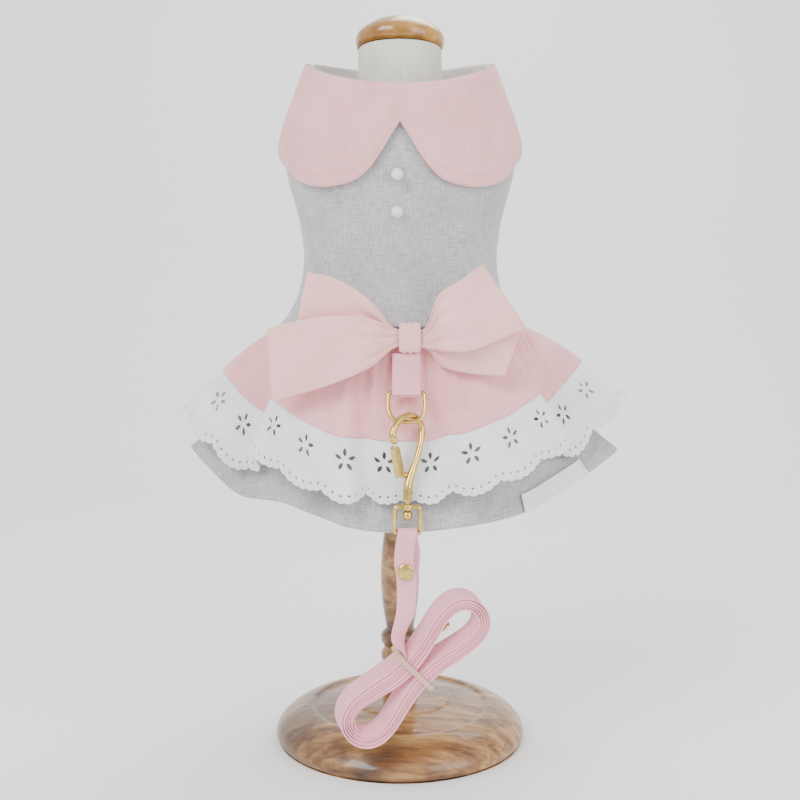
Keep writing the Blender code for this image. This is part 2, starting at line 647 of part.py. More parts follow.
def gate_frame():
    """Gate directions: along it, inwards to the spine, and its hinge axis."""
    along = GATE_TIP - PIVOT
    length = np.linalg.norm(along)
    along = along / length
    axis = np.cross(along, SPINE - GATE_TIP)
    axis /= np.linalg.norm(axis)
    inward = np.cross(axis, along)
    return along, inward, axis, length


def block(origin, along, inward, axis, ranges):
    """Box in the gate's directions, as rings of corners."""
    (a0, a1), (b0, b1), (c0, c1) = ranges
    rings = []
    for a in (a0, a1):
        rings.append([origin + along * a + inward * b + axis * c
                      for b, c in ((b0, c0), (b1, c0), (b1, c1), (b0, c1))])
    return skin(np.array(rings))


def build_hook():
    """Snap hook with its pin and ball, the sprung gate on the pin, and the swivel eye."""
    arm = [(3.8, 155.4), (3.9, 160), (4.6, 165), (6.6, 171), (9.4, 179), (11.2, 187), (10.9, 193),
           (8.0, 197.3), (4.3, 198.5), (0.3, 197), (-2.7, 193), (-3.9, 189), (-3.4, 186.4)]
    path = spline([hook_place(x, z) for x, z in arm], 2)
    size = np.interp(np.linspace(0, 1, len(path)), (0, 0.12, 0.2, 0.3, 1), (1.3, 1.5, 1.35, 1.0, 1.0))
    verts, faces = tube(path, HOOK_ARM * size, 6, face=(0.3, 1, 0))
    hook = finish("hook_body", verts, faces, GILT, 0.2, 1.0)
    along, inward, axis, length = gate_frame()
    nose = hook_place(-3.0, 186.4)
    stem = hook_place(3.8, 155.4)
    eye_top = 152.4 * MM
    ball_centre = stem * (1, 1, 0) + (0, 0, eye_top - 1.3 * MM - GAP - SWIVEL_BALL)
    others = []
    for label, (verts, faces) in (
            ("nose", ball(nose, 2.0 * MM, 8, 6)),
            ("pin", tube([PIVOT - axis * 2.6 * MM, PIVOT + axis * 2.6 * MM], GATE_PIN, 8, face=along)),
            ("lug", tube([PIVOT - axis * 1.0 * MM, PIVOT + axis * 1.0 * MM], 1.8 * MM, 8, face=along)),
            ("web", block(PIVOT, inward, along, axis, ((0, 5 * MM), (-4.5 * MM, 0.6 * MM), (-1 * MM, 1 * MM)))),
            ("stem", tube([stem + (0, 0, 1 * MM), ball_centre], 1.2 * MM, 8)),
            ("ball", ball(ball_centre, SWIVEL_BALL, 8, 6))):
        others.append(finish("hook_" + label, verts, faces, GILT, 0.2, 1.0))
    fuse(hook, others)

    low = -2.0 * MM
    verts, faces = block(PIVOT, along, inward, axis, ((low, length), (-3.0 * MM, 1.4 * MM), (-2.2 * MM, 2.2 * MM)))
    gate = finish("hook_gate", verts, faces, GILT, 0.25, 1.0, origin=tuple(PIVOT))
    inside = 2.2 * MM - GATE_WALL
    verts, faces = block(PIVOT, along, inward, axis,
                         ((low - 1 * MM, length + 1 * MM), (-3.0 * MM + GATE_WALL, 3 * MM), (-inside, inside)))
    hollow = finish("gate_hollow", verts, faces, GILT, 0.2, 1.0)
    verts, faces = tube([PIVOT - axis * 4 * MM, PIVOT + axis * 4 * MM], GATE_PIN + GAP, 8, face=along)
    bore = finish("gate_bore", verts, faces, GILT, 0.2, 1.0)
    for cutter in (hollow, bore):
        cutter.hide_render = True
        cutter.display_type = "WIRE"
        cut = gate.modifiers.new("cut", "BOOLEAN")
        cut.operation = "DIFFERENCE"
        cut.solver = "EXACT"
        cut.object = cutter

    w, h = EYE_HALF_WIDTH, EYE_HEIGHT
    half = [(0.0, 0.0), (0.72 * w, 0.0), (w, 0.14 * h), (w, 0.86 * h), (0.72 * w, h)]
    outline = half + [(0.0, h)] + [(-x, z) for x, z in half[:0:-1]]
    path = [(stem[0] + x, stem[1], eye_top - z) for x, z in outline]
    verts, faces = tube(path, EYE_WIRE, 6, closed=True)
    eye = finish("swivel_eye", verts, faces, GILT, 0.2, 1.0)
    centre = np.array([stem[0], stem[1], eye_top])
    rise = np.array([0, 0, 1.3 * MM])
    verts, faces = tube([centre - rise, centre + rise], 3.0 * MM, 10)
    fuse(eye, [finish("eye_boss", verts, faces, GILT, 0.2, 1.0)])
    verts, faces = tube([centre - 2 * rise, centre + 2 * rise], 1.2 * MM + GAP, 8)
    bore = finish("eye_bore", verts, faces, GILT, 0.2, 1.0)
    bore.hide_render = True
    bore.display_type = "WIRE"
    cut = eye.modifiers.new("bore", "BOOLEAN")
    cut.operation = "DIFFERENCE"
    cut.solver = "EXACT"
    cut.object = bore
    return centre - (0, 0, EYE_HEIGHT)


HANK_CENTRE = np.array([6.5, -88.8, 69.0]) * MM
HANK_ALONG = np.array([math.cos(HANK_TURN), 0.0, math.sin(HANK_TURN)])
HANK_OUT = np.array([-math.sin(HANK_TURN), 0.0, math.cos(HANK_TURN)])
HANK_WIDTH_WAY = np.array([0.0, 0.82, 0.0]) + HANK_OUT * 0.57


def hank_point(turn):
    """Place on the flat coil; turn runs from the outer end at the tie, in radians."""
    angle = np.asarray(turn) + np.pi / 2
    step = 1e-4

    def loop(t):
        """The innermost loop: two lobes pinched at the middle."""
        return np.stack([HANK_HALF_LENGTH * np.cos(t),
                         np.sin(t) * (HANK_WAIST + HANK_LOBE * np.cos(t) ** 2)], axis=-1)
    way = loop(angle + step) - loop(angle - step)
    way /= np.linalg.norm(way, axis=-1, keepdims=True)
    out = np.stack([way[..., 1], -way[..., 0]], axis=-1)
    spread = HANK_PITCH * (HANK_LAYERS - np.asarray(turn) / (2 * np.pi))
    flat = loop(angle) + out * (spread[..., None] + STRAP)
    return HANK_CENTRE + flat[..., :1] * HANK_ALONG + flat[..., 1:] * HANK_OUT


def build_leash(bar):
    """Leash: its tail and lead round the eye's bar, the coiled hank, the tie and the studs."""
    fold = EYE_WIRE + 1.5 * GAP + STRAP / 2
    x, y, z = bar / MM
    f = fold / MM
    end = hank_point(np.array(HANK_START)) / MM
    way = hank_point(np.array(HANK_START + 0.02)) / MM - end
    way /= np.linalg.norm(way)
    end = end - way * 0.4
    route = [(x + 0.2, y + f + 0.2, 107.3), (x + 0.8, y + f + 0.2, 118), (x + 1.6, y + f + 0.1, 128),
             (x + 0.4, y + f, z - 2.5)]
    route += [(x, y + f * math.cos(b), z + f * math.sin(b)) for b in np.linspace(0, np.pi, 7)]
    route += [
             (x - 1.2, y - f - 0.3, 133), (x - 1.8, y - f - 0.5, 124), (x - 0.6, y - f - 0.4, 115),
             (x - 0.8, y - f - 1.6, 99.5), (x - 4.4, y - f - 3.4, 87), tuple(end - way * 3 + HANK_OUT * 2.4), tuple(end)]
    path = spline(np.array(route) * MM, 1)
    blend = np.linspace(0, 1, len(path)).clip(0.80, 1.0)[:, None] * 5 - 4
    across = np.array([1.0, 0, 0]) * (1 - blend) + HANK_WIDTH_WAY * blend
    verts, faces = strap(path, across, STRAP_WIDTH, STRAP)
    finish("leash_lead", verts, faces, RIBBON_PINK, 0.5)

    turn = np.linspace(HANK_START, 2 * np.pi * (HANK_LAYERS + 0.25), int(HANK_LAYERS * 18))
    verts, faces = strap(hank_point(turn), HANK_WIDTH_WAY, STRAP_WIDTH, STRAP)
    finish("leash_hank", verts, faces, RIBBON_PINK, 0.5)

    reach = HANK_WAIST + STRAP * 1.5 + HANK_PITCH * HANK_LAYERS + 2 * GAP
    half = STRAP_WIDTH / 2 + GAP * 2
    corners = [HANK_OUT * reach * a + HANK_WIDTH_WAY * half * b
               for a, b in ((1, 1), (1.05, 0), (1, -1), (0, -1.08), (-1, -1), (-1.05, 0), (-1, 1), (0, 1.08))]
    layers = []
    for grow in (1.0, 1.09):
        layers.append([HANK_CENTRE + np.array(corners) * grow + HANK_ALONG * side for side in (-1.2 * MM, 1.2 * MM)])
    verts, faces = band(np.array(layers[1]), np.array(layers[0]))
    finish("leash_tie", verts, faces, (0.75, 0.6, 0.5), 0.6)

    stud = np.array([x - 1.1, y - f - 0.45, 119.5]) * MM - (0, STRAP / 2 + GAP, 0)
    for name, place, way, radius in (
            ("leash_stud", stud, np.array([0.0, -1.0, 0.0]), STUD_RADIUS),
            ("hank_rivet", HANK_CENTRE + HANK_ALONG * 27 * MM + HANK_OUT * 2.2 * MM, HANK_OUT, STUD_RADIUS * 0.7)):
        path = np.array([place, place + way * 0.9 * MM, place + way * 1.6 * MM])
        verts, faces = tube(path, np.array([radius, radius, radius * 0.6]), 10, face=HANK_ALONG)
        finish(name, verts, faces, GILT, 0.25, 1.0)


def main():
    """Build every piece, from the foot up."""
    clear_scene()
    build_stand()
    build_body()
    build_skirt()
    build_bow()
    build_ring()
    build_leash(build_hook())


main()
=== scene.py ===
"""Looks of a small dog's harness dress on a turned display stand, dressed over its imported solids.

Every surface is a function of two parameters worked out with numpy; lengths are metres unless named otherwise.
"""

import logging
import math
from dataclasses import dataclass, field
from enum import Enum
from typing import Callable

import bmesh
import bpy
import numpy as np
from mathutils.geometry import delaunay_2d_cdt
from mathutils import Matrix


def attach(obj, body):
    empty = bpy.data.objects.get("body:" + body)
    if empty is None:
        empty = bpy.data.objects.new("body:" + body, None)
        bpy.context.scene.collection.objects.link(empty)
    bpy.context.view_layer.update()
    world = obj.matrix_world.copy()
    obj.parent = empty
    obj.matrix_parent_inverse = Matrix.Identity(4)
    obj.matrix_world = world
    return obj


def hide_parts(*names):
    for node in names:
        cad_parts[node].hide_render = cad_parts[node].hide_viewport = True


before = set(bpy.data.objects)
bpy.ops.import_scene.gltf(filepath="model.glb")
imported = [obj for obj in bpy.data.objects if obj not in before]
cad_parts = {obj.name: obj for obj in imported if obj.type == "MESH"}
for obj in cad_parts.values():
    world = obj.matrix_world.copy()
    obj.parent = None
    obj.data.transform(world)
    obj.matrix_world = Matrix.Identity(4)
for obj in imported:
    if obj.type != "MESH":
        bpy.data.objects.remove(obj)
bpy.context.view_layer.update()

MM = 0.001
LOG = logging.getLogger("dog_dress")

# Body sections from the waist seam (0) to the neck rim (1): height, share of half width, share of half depth
BODY_ROWS = (
    (0.00, 1.050, 1.110), (0.06, 0.950, 1.030), (0.13, 0.880, 0.960), (0.20, 0.845, 0.930),
    (0.27, 0.830, 0.915), (0.38, 0.855, 0.920), (0.48, 0.905, 0.950), (0.58, 0.965, 0.980),
    (0.68, 0.995, 1.000), (0.78, 0.955, 0.990), (0.88, 0.880, 0.940), (1.00, 0.785, 0.865),
)
# Collar's lower edge: angle from the front in degrees, share of the notch's height
COLLAR_ROWS = (
    (0, 1.0), (3, 0.84), (8, 0.53), (13, 0.28), (20, 0.09), (28, 0.02), (36, 0.0), (45, 0.03),
    (54, 0.12), (63, 0.29), (72, 0.47), (82, 0.65), (95, 0.81), (120, 0.93), (180, 0.97),
)
# Hem folds: the cloth's own angle in degrees, then shares of the skirt's half width, half depth and drop
UPPER_HEM = (
    (-180, 0.00, -0.96, 0.93), (-165, -0.27, -0.87, 0.90), (-150, -0.50, -0.84, 0.82),
    (-135, -0.70, -0.60, 0.72), (-120, -0.88, -0.44, 0.62), (-96, -0.99, 0.00, 0.54),
    (-78, -0.85, 0.27, 0.73), (-64, -0.65, 0.40, 0.90), (-57, -0.59, 0.46, 0.86),
    (-50, -0.63, 0.58, 0.73), (-38, -0.41, 0.85, 0.90), (-24, -0.21, 0.95, 0.99),
    (-15, -0.125, 0.84, 0.985), (-8, -0.07, 0.895, 1.00), (0, 0.00, 0.905, 1.00),
    (10, 0.12, 0.90, 1.00), (17, 0.185, 0.86, 0.975), (25, 0.30, 0.95, 0.94),
    (38, 0.47, 0.87, 0.86), (50, 0.71, 0.56, 0.69), (57, 0.64, 0.43, 0.76),
    (64, 0.71, 0.35, 0.82), (80, 0.87, 0.20, 0.66), (98, 1.03, 0.00, 0.46),
    (120, 0.91, -0.42, 0.58), (135, 0.70, -0.60, 0.70), (150, 0.52, -0.84, 0.78),
    (165, 0.27, -0.87, 0.88),
)
LOWER_HEM = (
    (-180, 0.00, -0.84, 1.10), (-150, -0.46, -0.70, 0.99), (-120, -0.78, -0.36, 0.87),
    (-98, -0.945, 0.00, 0.78), (-80, -0.83, 0.19, 0.92), (-66, -0.66, 0.37, 1.06),
    (-54, -0.52, 0.54, 1.055), (-38, -0.35, 0.75, 1.10), (-20, -0.18, 0.87, 1.16),
    (0, 0.00, 0.895, 1.18), (20, 0.17, 0.87, 1.165), (36, 0.33, 0.80, 1.145),
    (50, 0.51, 0.64, 1.11), (66, 0.68, 0.42, 1.02), (80, 0.82, 0.25, 0.93),
    (98, 0.985, 0.00, 0.80), (120, 0.82, -0.36, 0.88), (150, 0.48, -0.70, 1.00),
)
# Ribbon stations: upper x and z, lower x and z, stand-off, as shares of the ribbon's width
BOW_FRONT_ROWS = (
    (-1.97, 0.12, -1.90, -0.88, 0.10), (-1.60, 0.22, -1.62, -0.80, 0.16),
    (-1.10, 0.30, -1.15, -0.66, 0.22), (-0.56, 0.27, -0.56, -0.41, 0.20),
    (-0.20, 0.13, -0.20, -0.13, 0.00), (0.20, 0.13, 0.20, -0.14, 0.00),
    (0.38, 0.57, 0.50, -0.18, 0.20), (0.70, 0.80, 0.88, -0.16, 0.20),
    (1.00, 1.01, 1.61, 0.13, 0.06),
)
BOW_BACK_ROWS = (
    (-1.42, 0.91, -1.62, -0.02, 0.00), (-1.10, 0.84, -1.22, -0.10, 0.03),
    (-0.80, 0.70, -0.92, -0.14, 0.04), (-0.46, 0.42, -0.50, -0.16, 0.04),
    (-0.20, 0.13, -0.20, -0.13, 0.00), (0.20, 0.13, 0.20, -0.14, 0.00),
    (0.50, 0.38, 0.46, -0.40, 0.05), (0.95, 0.50, 0.85, -0.50, 0.07),
    (1.54, 0.10, 1.33, -0.53, 0.05),
)


class Slot(Enum):
    """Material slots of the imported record."""

    WOOD = "turned_wood"
    HONEY = "honey_wood"
    CANVAS = "form_cloth"
    LINEN = "grey_linen"
    WHITE = "white_cotton"
    PINK = "pink_cotton"
    PEARL = "pearl"
    LACE = "eyelet_lace"
    SATIN = "white_satin"
    RIBBON = "pink_ribbon"
    WEBBING = "pink_webbing"
    GILT = "gilt_metal"
    ELASTIC = "elastic"


class Body(Enum):
    """Bodies that a piece can ride on."""

    ROOT = "root"
    GATE = "gate"


class Held(Enum):
    """How a cut sheet is held."""

    HUNG = "hung"
    GATHERED = "gathered"
    FOLDED = "folded"
    STRETCHED = "stretched"
    LAID = "laid"


def linear(code: str) -> tuple[float, float, float, float]:
    """Turn an sRGB hex colour to linear light.

    Args:
        code: six hex digits.

    Returns:
        Red, green, blue and an alpha of one.
    """
    values = [int(code[i:i + 2], 16) / 255 for i in (0, 2, 4)]
    parts = [v / 12.92 if v <= 0.04045 else ((v + 0.055) / 1.055) ** 2.4 for v in values]
    return (*parts, 1.0)


def add(tree: bpy.types.NodeTree, kind: str, links: dict | None = None, **settings) -> bpy.types.Node:
    """Add a node with its settings and links.

    Args:
        tree: the material's node tree.
        kind: the node's type name.
        links: socket name or number to a value, or to (node, output name or number).
        settings: attributes of the node.

    Returns:
        The new node.
    """
    node = tree.nodes.new(kind)
    for key, value in settings.items():
        setattr(node, key, value)
    for socket, source in (links or {}).items():
        if isinstance(source, tuple) and len(source) == 2 and isinstance(source[0], bpy.types.Node):
            tree.links.new(source[0].outputs[source[1]], node.inputs[socket])
        else:
            node.inputs[socket].default_value = source
    return node


def ramp(tree: bpy.types.NodeTree, source: tuple, stops: list[tuple[float, str]]) -> bpy.types.Node:
    """Colour ramp read from a value.

    Args:
        tree: the material's node tree.
        source: the node and output that drive it.
        stops: place and hex colour of each stop.

    Returns:
        The ramp node.
    """
    node = add(tree, "ShaderNodeValToRGB", {0: source})
    elements = node.color_ramp.elements
    while len(elements) < len(stops):
        elements.new(0.5)
    for element, (place, code) in zip(elements, stops):
        element.position = place
        element.color = linear(code)
    return node


def new_material(name: str) -> tuple[bpy.types.Material, bpy.types.NodeTree, bpy.types.Node]:
    """Make an empty material with its shader; returns the material, its tree and the shader."""
    material = bpy.data.materials.new(name)
    material.use_nodes = True
    return material, material.node_tree, material.node_tree.nodes["Principled BSDF"]


def mix(tree: bpy.types.NodeTree, share: float | tuple, a: tuple, b: tuple, mode: str = "MIX") -> tuple:
    """Mix two colours; returns the mix node and its colour output's number."""
    node = tree.nodes.new("ShaderNodeMix")
    node.data_type = "RGBA"
    node.blend_type = mode
    for number, source in ((0, share), (6, a), (7, b)):
        if isinstance(source, tuple) and isinstance(source[0], bpy.types.Node):
            tree.links.new(source[0].outputs[source[1]], node.inputs[number])
        else:
            node.inputs[number].default_value = source
    return node, 2


def maths(tree: bpy.types.NodeTree, operation: str, a: float | tuple, b: float | tuple = 0.0) -> tuple:
    """One sum on values; returns the node and its output's number."""
    return add(tree, "ShaderNodeMath", {0: a, 1: b}, operation=operation), 0


@dataclass(frozen=True)
class WovenCloth:
    """Plain-weave cloth: warp and weft threads crossing, with slubs, from the piece's own UV in millimetres."""

    name: str
    base: str
    dark: str
    light: str
    thread_mm: float = 0.6
    fleck: float = 0.5
    slub: float = 0.3
    relief: float = 0.4
    roughness: float = 0.85
    sheen: float = 0.3
    along: float = 1.0

    def build(self) -> bpy.types.Material:
        """Make the material: two thread waves in UV set the relief, noise along each thread the melange."""
        material, tree, shader = new_material(self.name)
        uv = add(tree, "ShaderNodeUVMap", uv_map="cloth"), 0
        split = add(tree, "ShaderNodeSeparateXYZ", {0: uv})
        waves = []
        for axis in (0, 1):
            count = maths(tree, "MULTIPLY", (split, axis), math.pi / self.thread_mm)
            waves.append(maths(tree, "SINE", count))
        cross = maths(tree, "MULTIPLY", waves[0], waves[1])
        checks = maths(tree, "GREATER_THAN", cross, 0.0)
        lines = []
        for scale in ((0.16, 1.9), (1.9, 0.16)):
            stretch = add(tree, "ShaderNodeMapping", {0: uv, 3: (scale[0], scale[1], 1.0)})
            noise = add(tree, "ShaderNodeTexNoise", {"Vector": (stretch, 0), "Scale": 0.6 / self.thread_mm,
                                                     "Detail": 3.0, "Roughness": 0.7})
            lines.append((noise, 0))
        melange = add(tree, "ShaderNodeMix", {0: checks, 2: lines[0], 3: lines[1]}), 0
        colour = ramp(tree, melange, [(0.5 - 0.25 * self.fleck, self.dark), (0.5, self.base),
                                      (0.5 + 0.22 * self.fleck, self.light)])
        shade = add(tree, "ShaderNodeTexNoise", {"Vector": uv, "Scale": 0.035, "Detail": 2.0})
        tone = ramp(tree, (shade, 0), [(0.35, "F2F0F0"), (0.65, "FFFFFF")])
        final = mix(tree, 1.0, (colour, 0), (tone, 0), "MULTIPLY")
        tree.links.new(final[0].outputs[final[1]], shader.inputs["Base Color"])
        height = maths(tree, "ABSOLUTE", cross)
        bumps = add(tree, "ShaderNodeMix", {0: self.slub, 2: height, 3: melange})
        relief = add(tree, "ShaderNodeBump", {"Strength": self.relief, "Distance": 0.0004, "Height": (bumps, 0)})
        tree.links.new(relief.outputs[0], shader.inputs["Normal"])
        shader.inputs["Roughness"].default_value = self.roughness
        shader.inputs["Sheen Weight"].default_value = self.sheen
        return material


@dataclass(frozen=True)
class RibbedRibbon:
    """Ribbed (grosgrain) ribbon or fine webbing: raised cross ribs, from the piece's UV in millimetres."""

    name: str
    base: str
    # deep: colour of the painted shade in the grooves between the ribs
    deep: str
    rib_mm: float = 0.9
    relief: float = 0.35
    roughness: float = 0.6
    rib_axis: int = 0

    def build(self) -> bpy.types.Material:
        """Make the material: a sine across the ribs for relief and a faint painted shade in the groove between them."""
        material, tree, shader = new_material(self.name)
        uv = add(tree, "ShaderNodeUVMap", uv_map="cloth"), 0
        split = add(tree, "ShaderNodeSeparateXYZ", {0: uv})
        turn = maths(tree, "MULTIPLY", (split, self.rib_axis), 2 * math.pi / self.rib_mm)
        wave = maths(tree, "SINE", turn)
        level = add(tree, "ShaderNodeMath", {0: wave, 1: 0.5, 2: 0.5}, operation="MULTIPLY_ADD")
        # painted shade: the colour darkens to the deep colour in the grooves, following the rib sine
        colour = ramp(tree, (level, 0), [(0.0, self.deep), (0.35, self.base)])
        shade = add(tree, "ShaderNodeTexNoise", {"Vector": uv, "Scale": 0.05, "Detail": 1.0})
        tone = ramp(tree, (shade, 0), [(0.3, "F7F2F2"), (0.7, "FFFFFF")])
        final = mix(tree, 1.0, (colour, 0), (tone, 0), "MULTIPLY")
        tree.links.new(final[0].outputs[final[1]], shader.inputs["Base Color"])
        relief = add(tree, "ShaderNodeBump", {"Strength": self.relief, "Distance": 0.0003, "Height": wave})
        tree.links.new(relief.outputs[0], shader.inputs["Normal"])
        shader.inputs["Roughness"].default_value = self.roughness
        shader.inputs["Sheen Weight"].default_value = 0.25
        return material


@dataclass(frozen=True)
class TurnedWood:
    """Stained and varnished turned wood: long streaks along the grain and dark patches, in object space."""

    name: str
    dark: str
    base: str
    light: str
    roughness: float = 0.3
    grain: tuple[float, float, float] = (8.0, 60.0, 60.0)

    def build(self) -> bpy.types.Material:
        """Make the material: stretched noise for the grain, a broad one for the stain's patches."""
        material, tree, shader = new_material(self.name)
        place = add(tree, "ShaderNodeTexCoord"), 3
        stretch = add(tree, "ShaderNodeMapping", {0: place, 3: self.grain})
        grain = add(tree, "ShaderNodeTexNoise", {"Vector": (stretch, 0), "Scale": 3.0, "Detail": 6.0,
                                                 "Roughness": 0.65, "Distortion": 0.4})
        patches = add(tree, "ShaderNodeTexNoise", {"Vector": place, "Scale": 22.0, "Detail": 3.0})
        streaks = ramp(tree, (grain, 0), [(0.32, self.dark), (0.5, self.base), (0.68, self.light)])
        stain = ramp(tree, (patches, 0), [(0.38, "7A6858"), (0.55, "FFFFFF")])
        final = mix(tree, 0.75, (streaks, 0), (stain, 0), "MULTIPLY")
        tree.links.new(final[0].outputs[final[1]], shader.inputs["Base Color"])
        relief = add(tree, "ShaderNodeBump", {"Strength": 0.12, "Distance": 0.0004, "Height": (grain, 0)})
        tree.links.new(relief.outputs[0], shader.inputs["Normal"])
        shader.inputs["Roughness"].default_value = self.roughness
        shader.inputs["Coat Weight"].default_value = 0.35
        return material


@dataclass(frozen=True)
class PlainFinish:
    """A smooth finish with a little mottling: gilt metal, pearl, satin or thread."""

    name: str
    base: str
    shade: str
    roughness: float
    metallic: float = 0.0
    coat: float = 0.0
    mottle: float = 300.0
    relief: float = 0.03

    def build(self) -> bpy.types.Material:
        """Make the material: one fine noise drives the colour, the roughness and a faint relief."""
        material, tree, shader = new_material(self.name)
        place = add(tree, "ShaderNodeTexCoord"), 3
        noise = add(tree, "ShaderNodeTexNoise", {"Vector": place, "Scale": self.mottle, "Detail": 3.0})
        colour = ramp(tree, (noise, 0), [(0.35, self.shade), (0.65, self.base)])
        tree.links.new(colour.outputs[0], shader.inputs["Base Color"])
        rough = add(tree, "ShaderNodeMapRange", {0: (noise, 0), 3: self.roughness * 0.8, 4: self.roughness * 1.2})
        tree.links.new(rough.outputs[0], shader.inputs["Roughness"])
        relief = add(tree, "ShaderNodeBump", {"Strength": self.relief, "Distance": 0.0003, "Height": (noise, 0)})
        tree.links.new(relief.outputs[0], shader.inputs["Normal"])
        shader.inputs["Metallic"].default_value = self.metallic
        shader.inputs["Coat Weight"].default_value = self.coat
        return material


@dataclass
class Finishes:
    """Every finish, made once and shared."""

    made: dict[str, bpy.types.Material] = field(default_factory=dict)

    def build(self) -> None:
        """Make all the materials; each is named for what the real piece is made of."""
        # The melange linen's threads are about 0.5 mm; drawn at 0.8 mm so that they hold at the picture's scale
        finishes = {
            "linen": WovenCloth("linen_melange_weave", "B2B3B5", "86878A", "D2D2D1", 0.8, 0.75, 0.6, 0.5, 0.9),
            "pink": WovenCloth("cotton_poplin_pink", "F0AEB1", "E69DA2", "F8C2C4", 0.6, 0.7, 0.3, 0.25, 0.85),
            "skirt": WovenCloth("cotton_poplin_rose", "F1ABAF", "E89BA1", "F8C0C3", 0.6, 0.7, 0.3, 0.25, 0.85),
            "white": WovenCloth("cotton_facing_white", "EDEBE7", "DEDCD8", "F6F5F2", 0.6, 0.6, 0.3, 0.2, 0.85),
            "lace": WovenCloth("cotton_eyelet_white", "E9ECEF", "DCDFE3", "F6F8FA", 0.6, 0.6, 0.3, 0.2, 0.85),
            "canvas": WovenCloth("cotton_canvas_ecru", "DAD6CA", "CBC6B8", "E6E3DA", 0.7, 0.6, 0.3, 0.3, 0.9),
            # the second colour of each ribbed finish is the painted shade in its grooves
            "ribbon": RibbedRibbon("grosgrain_ribbon_pink", "FBC6C4", "EFA9A8", 0.95, 0.35, 0.55),
            "webbing": RibbedRibbon("polyester_webbing_pink", "F8B4C3", "E692A5", 1.1, 0.4, 0.5),
            "elastic": RibbedRibbon("braided_elastic_beige", "E3BEA6", "C39A80", 0.7, 0.5, 0.6, 1),
            "gilt": PlainFinish("gilt_zinc_alloy", "D9C079", "C4A655", 0.2, 1.0),
            "pearl": PlainFinish("glass_pearl_ivory", "F0ECE6", "E2DCD4", 0.16, 0.0, 0.6),
            "satin": PlainFinish("polyester_satin_white", "F3F3F3", "EAEAEA", 0.35, 0.0, 0.1, 900.0, 0.1),
            "pink_thread": PlainFinish("polyester_thread_pink", "EBC5C8", "DDB0B4", 0.6),
            "grey_thread": PlainFinish("polyester_thread_grey", "C4C5C7", "A9AAAD", 0.6),
            "white_thread": PlainFinish("cotton_thread_white", "F4F6F8", "E6E9EC", 0.6),
            "wood": TurnedWood("beech_wood_walnut_stain", "5A3719", "96693B", "C39B60", 0.33),
            "honey": TurnedWood("beech_wood_honey_stain", "A06A26", "BF8B3A", "D6A658", 0.22, (40.0, 8.0, 40.0)),
        }
        for key, finish in finishes.items():
            self.made[key] = finish.build()

    def __getitem__(self, key: str) -> bpy.types.Material:
        """One finish by its short name."""
        return self.made[key]


def smooth_rows(rows: tuple, at: np.ndarray, period: float | None = None) -> list[np.ndarray]:
    """Read a table at many places: a cubic between rows whose slopes never overshoot them.

    Args:
        rows: the table, its first column the place.
        at: where to read it.
        period: the table's period, for one that closes on itself.

    Returns:
        One array for each further column.
    """
    table = np.asarray(rows, dtype=float)
    if period is not None:
        shift = np.zeros(table.shape[1])
        shift[0] = period
        table = np.vstack([table - shift, table, table + shift])
    where = table[:, 0]
    at = np.asarray(at, dtype=float)
    columns = []
    for values in table[:, 1:].T:
        rise = np.diff(values) / np.diff(where)
        slope = np.zeros_like(values)
        both = rise[:-1] * rise[1:]
        slope[1:-1] = np.where(both > 0, 2 * both / np.where(both > 0, rise[:-1] + rise[1:], 1.0), 0.0)
        slope[0], slope[-1] = rise[0], rise[-1]
        cell = np.clip(np.searchsorted(where, at, side="right") - 1, 0, len(where) - 2)
        step = where[cell + 1] - where[cell]
        s = (at - where[cell]) / step
        columns.append(values[cell] * (2 * s**3 - 3 * s**2 + 1) + slope[cell] * step * (s**3 - 2 * s**2 + s)
                       + values[cell + 1] * (3 * s**2 - 2 * s**3) + slope[cell + 1] * step * (s**3 - s**2))
    return columns


def spline(points: np.ndarray, steps: int) -> np.ndarray:
    """Smooth curve through points: each span is the cubic whose slopes join its neighbours' chords."""
    p = np.asarray(points, dtype=float)
    p = np.vstack([2 * p[0] - p[1], p, 2 * p[-1] - p[-2]])
    s = np.linspace(0, 1, steps, endpoint=False)[:, None]
    out = [0.5 * (2 * p[i] + (p[i + 1] - p[i - 1]) * s
                  + (2 * p[i - 1] - 5 * p[i] + 4 * p[i + 1] - p[i + 2]) * s**2
                  + (3 * p[i] - p[i - 1] - 3 * p[i + 1] + p[i + 2]) * s**3) for i in range(1, len(p) - 2)]
    return np.vstack([*out, p[-2:-1]])


def waves(at: np.ndarray, seed: int, counts: tuple[int, int], terms: int = 7) -> np.ndarray:
    """Uneven ripple round a full turn: a sum of sines with whole-number counts and random phases.

    Args:
        at: angle in radians.
        seed: seed of the random phases.
        counts: lowest and highest number of waves round the turn.
        terms: how many sines.

    Returns:
        Values of about -1 to 1.
    """
    rng = np.random.default_rng(seed)
    total = 0.0 * at
    for _ in range(terms):
        total = total + rng.uniform(0.5, 1.0) * np.sin(rng.integers(*counts) * at + rng.uniform(0, 2 * np.pi))
    return total / (0.45 * terms)


def arc_uv(points: np.ndarray) -> np.ndarray:
    """UV in millimetres of a grid: length along its longest row, and mean length down its columns."""
    along = np.linalg.norm(np.diff(points, axis=1), axis=2)
    widest = along[np.argmax(along.sum(axis=1))]
    u = np.concatenate([[0], np.cumsum(widest)]) / MM
    down = np.linalg.norm(np.diff(points, axis=0), axis=2).mean(axis=1)
    v = np.concatenate([[0], np.cumsum(down)]) / MM
    return np.stack(np.broadcast_arrays(u[None, :], v[:, None]), axis=-1)


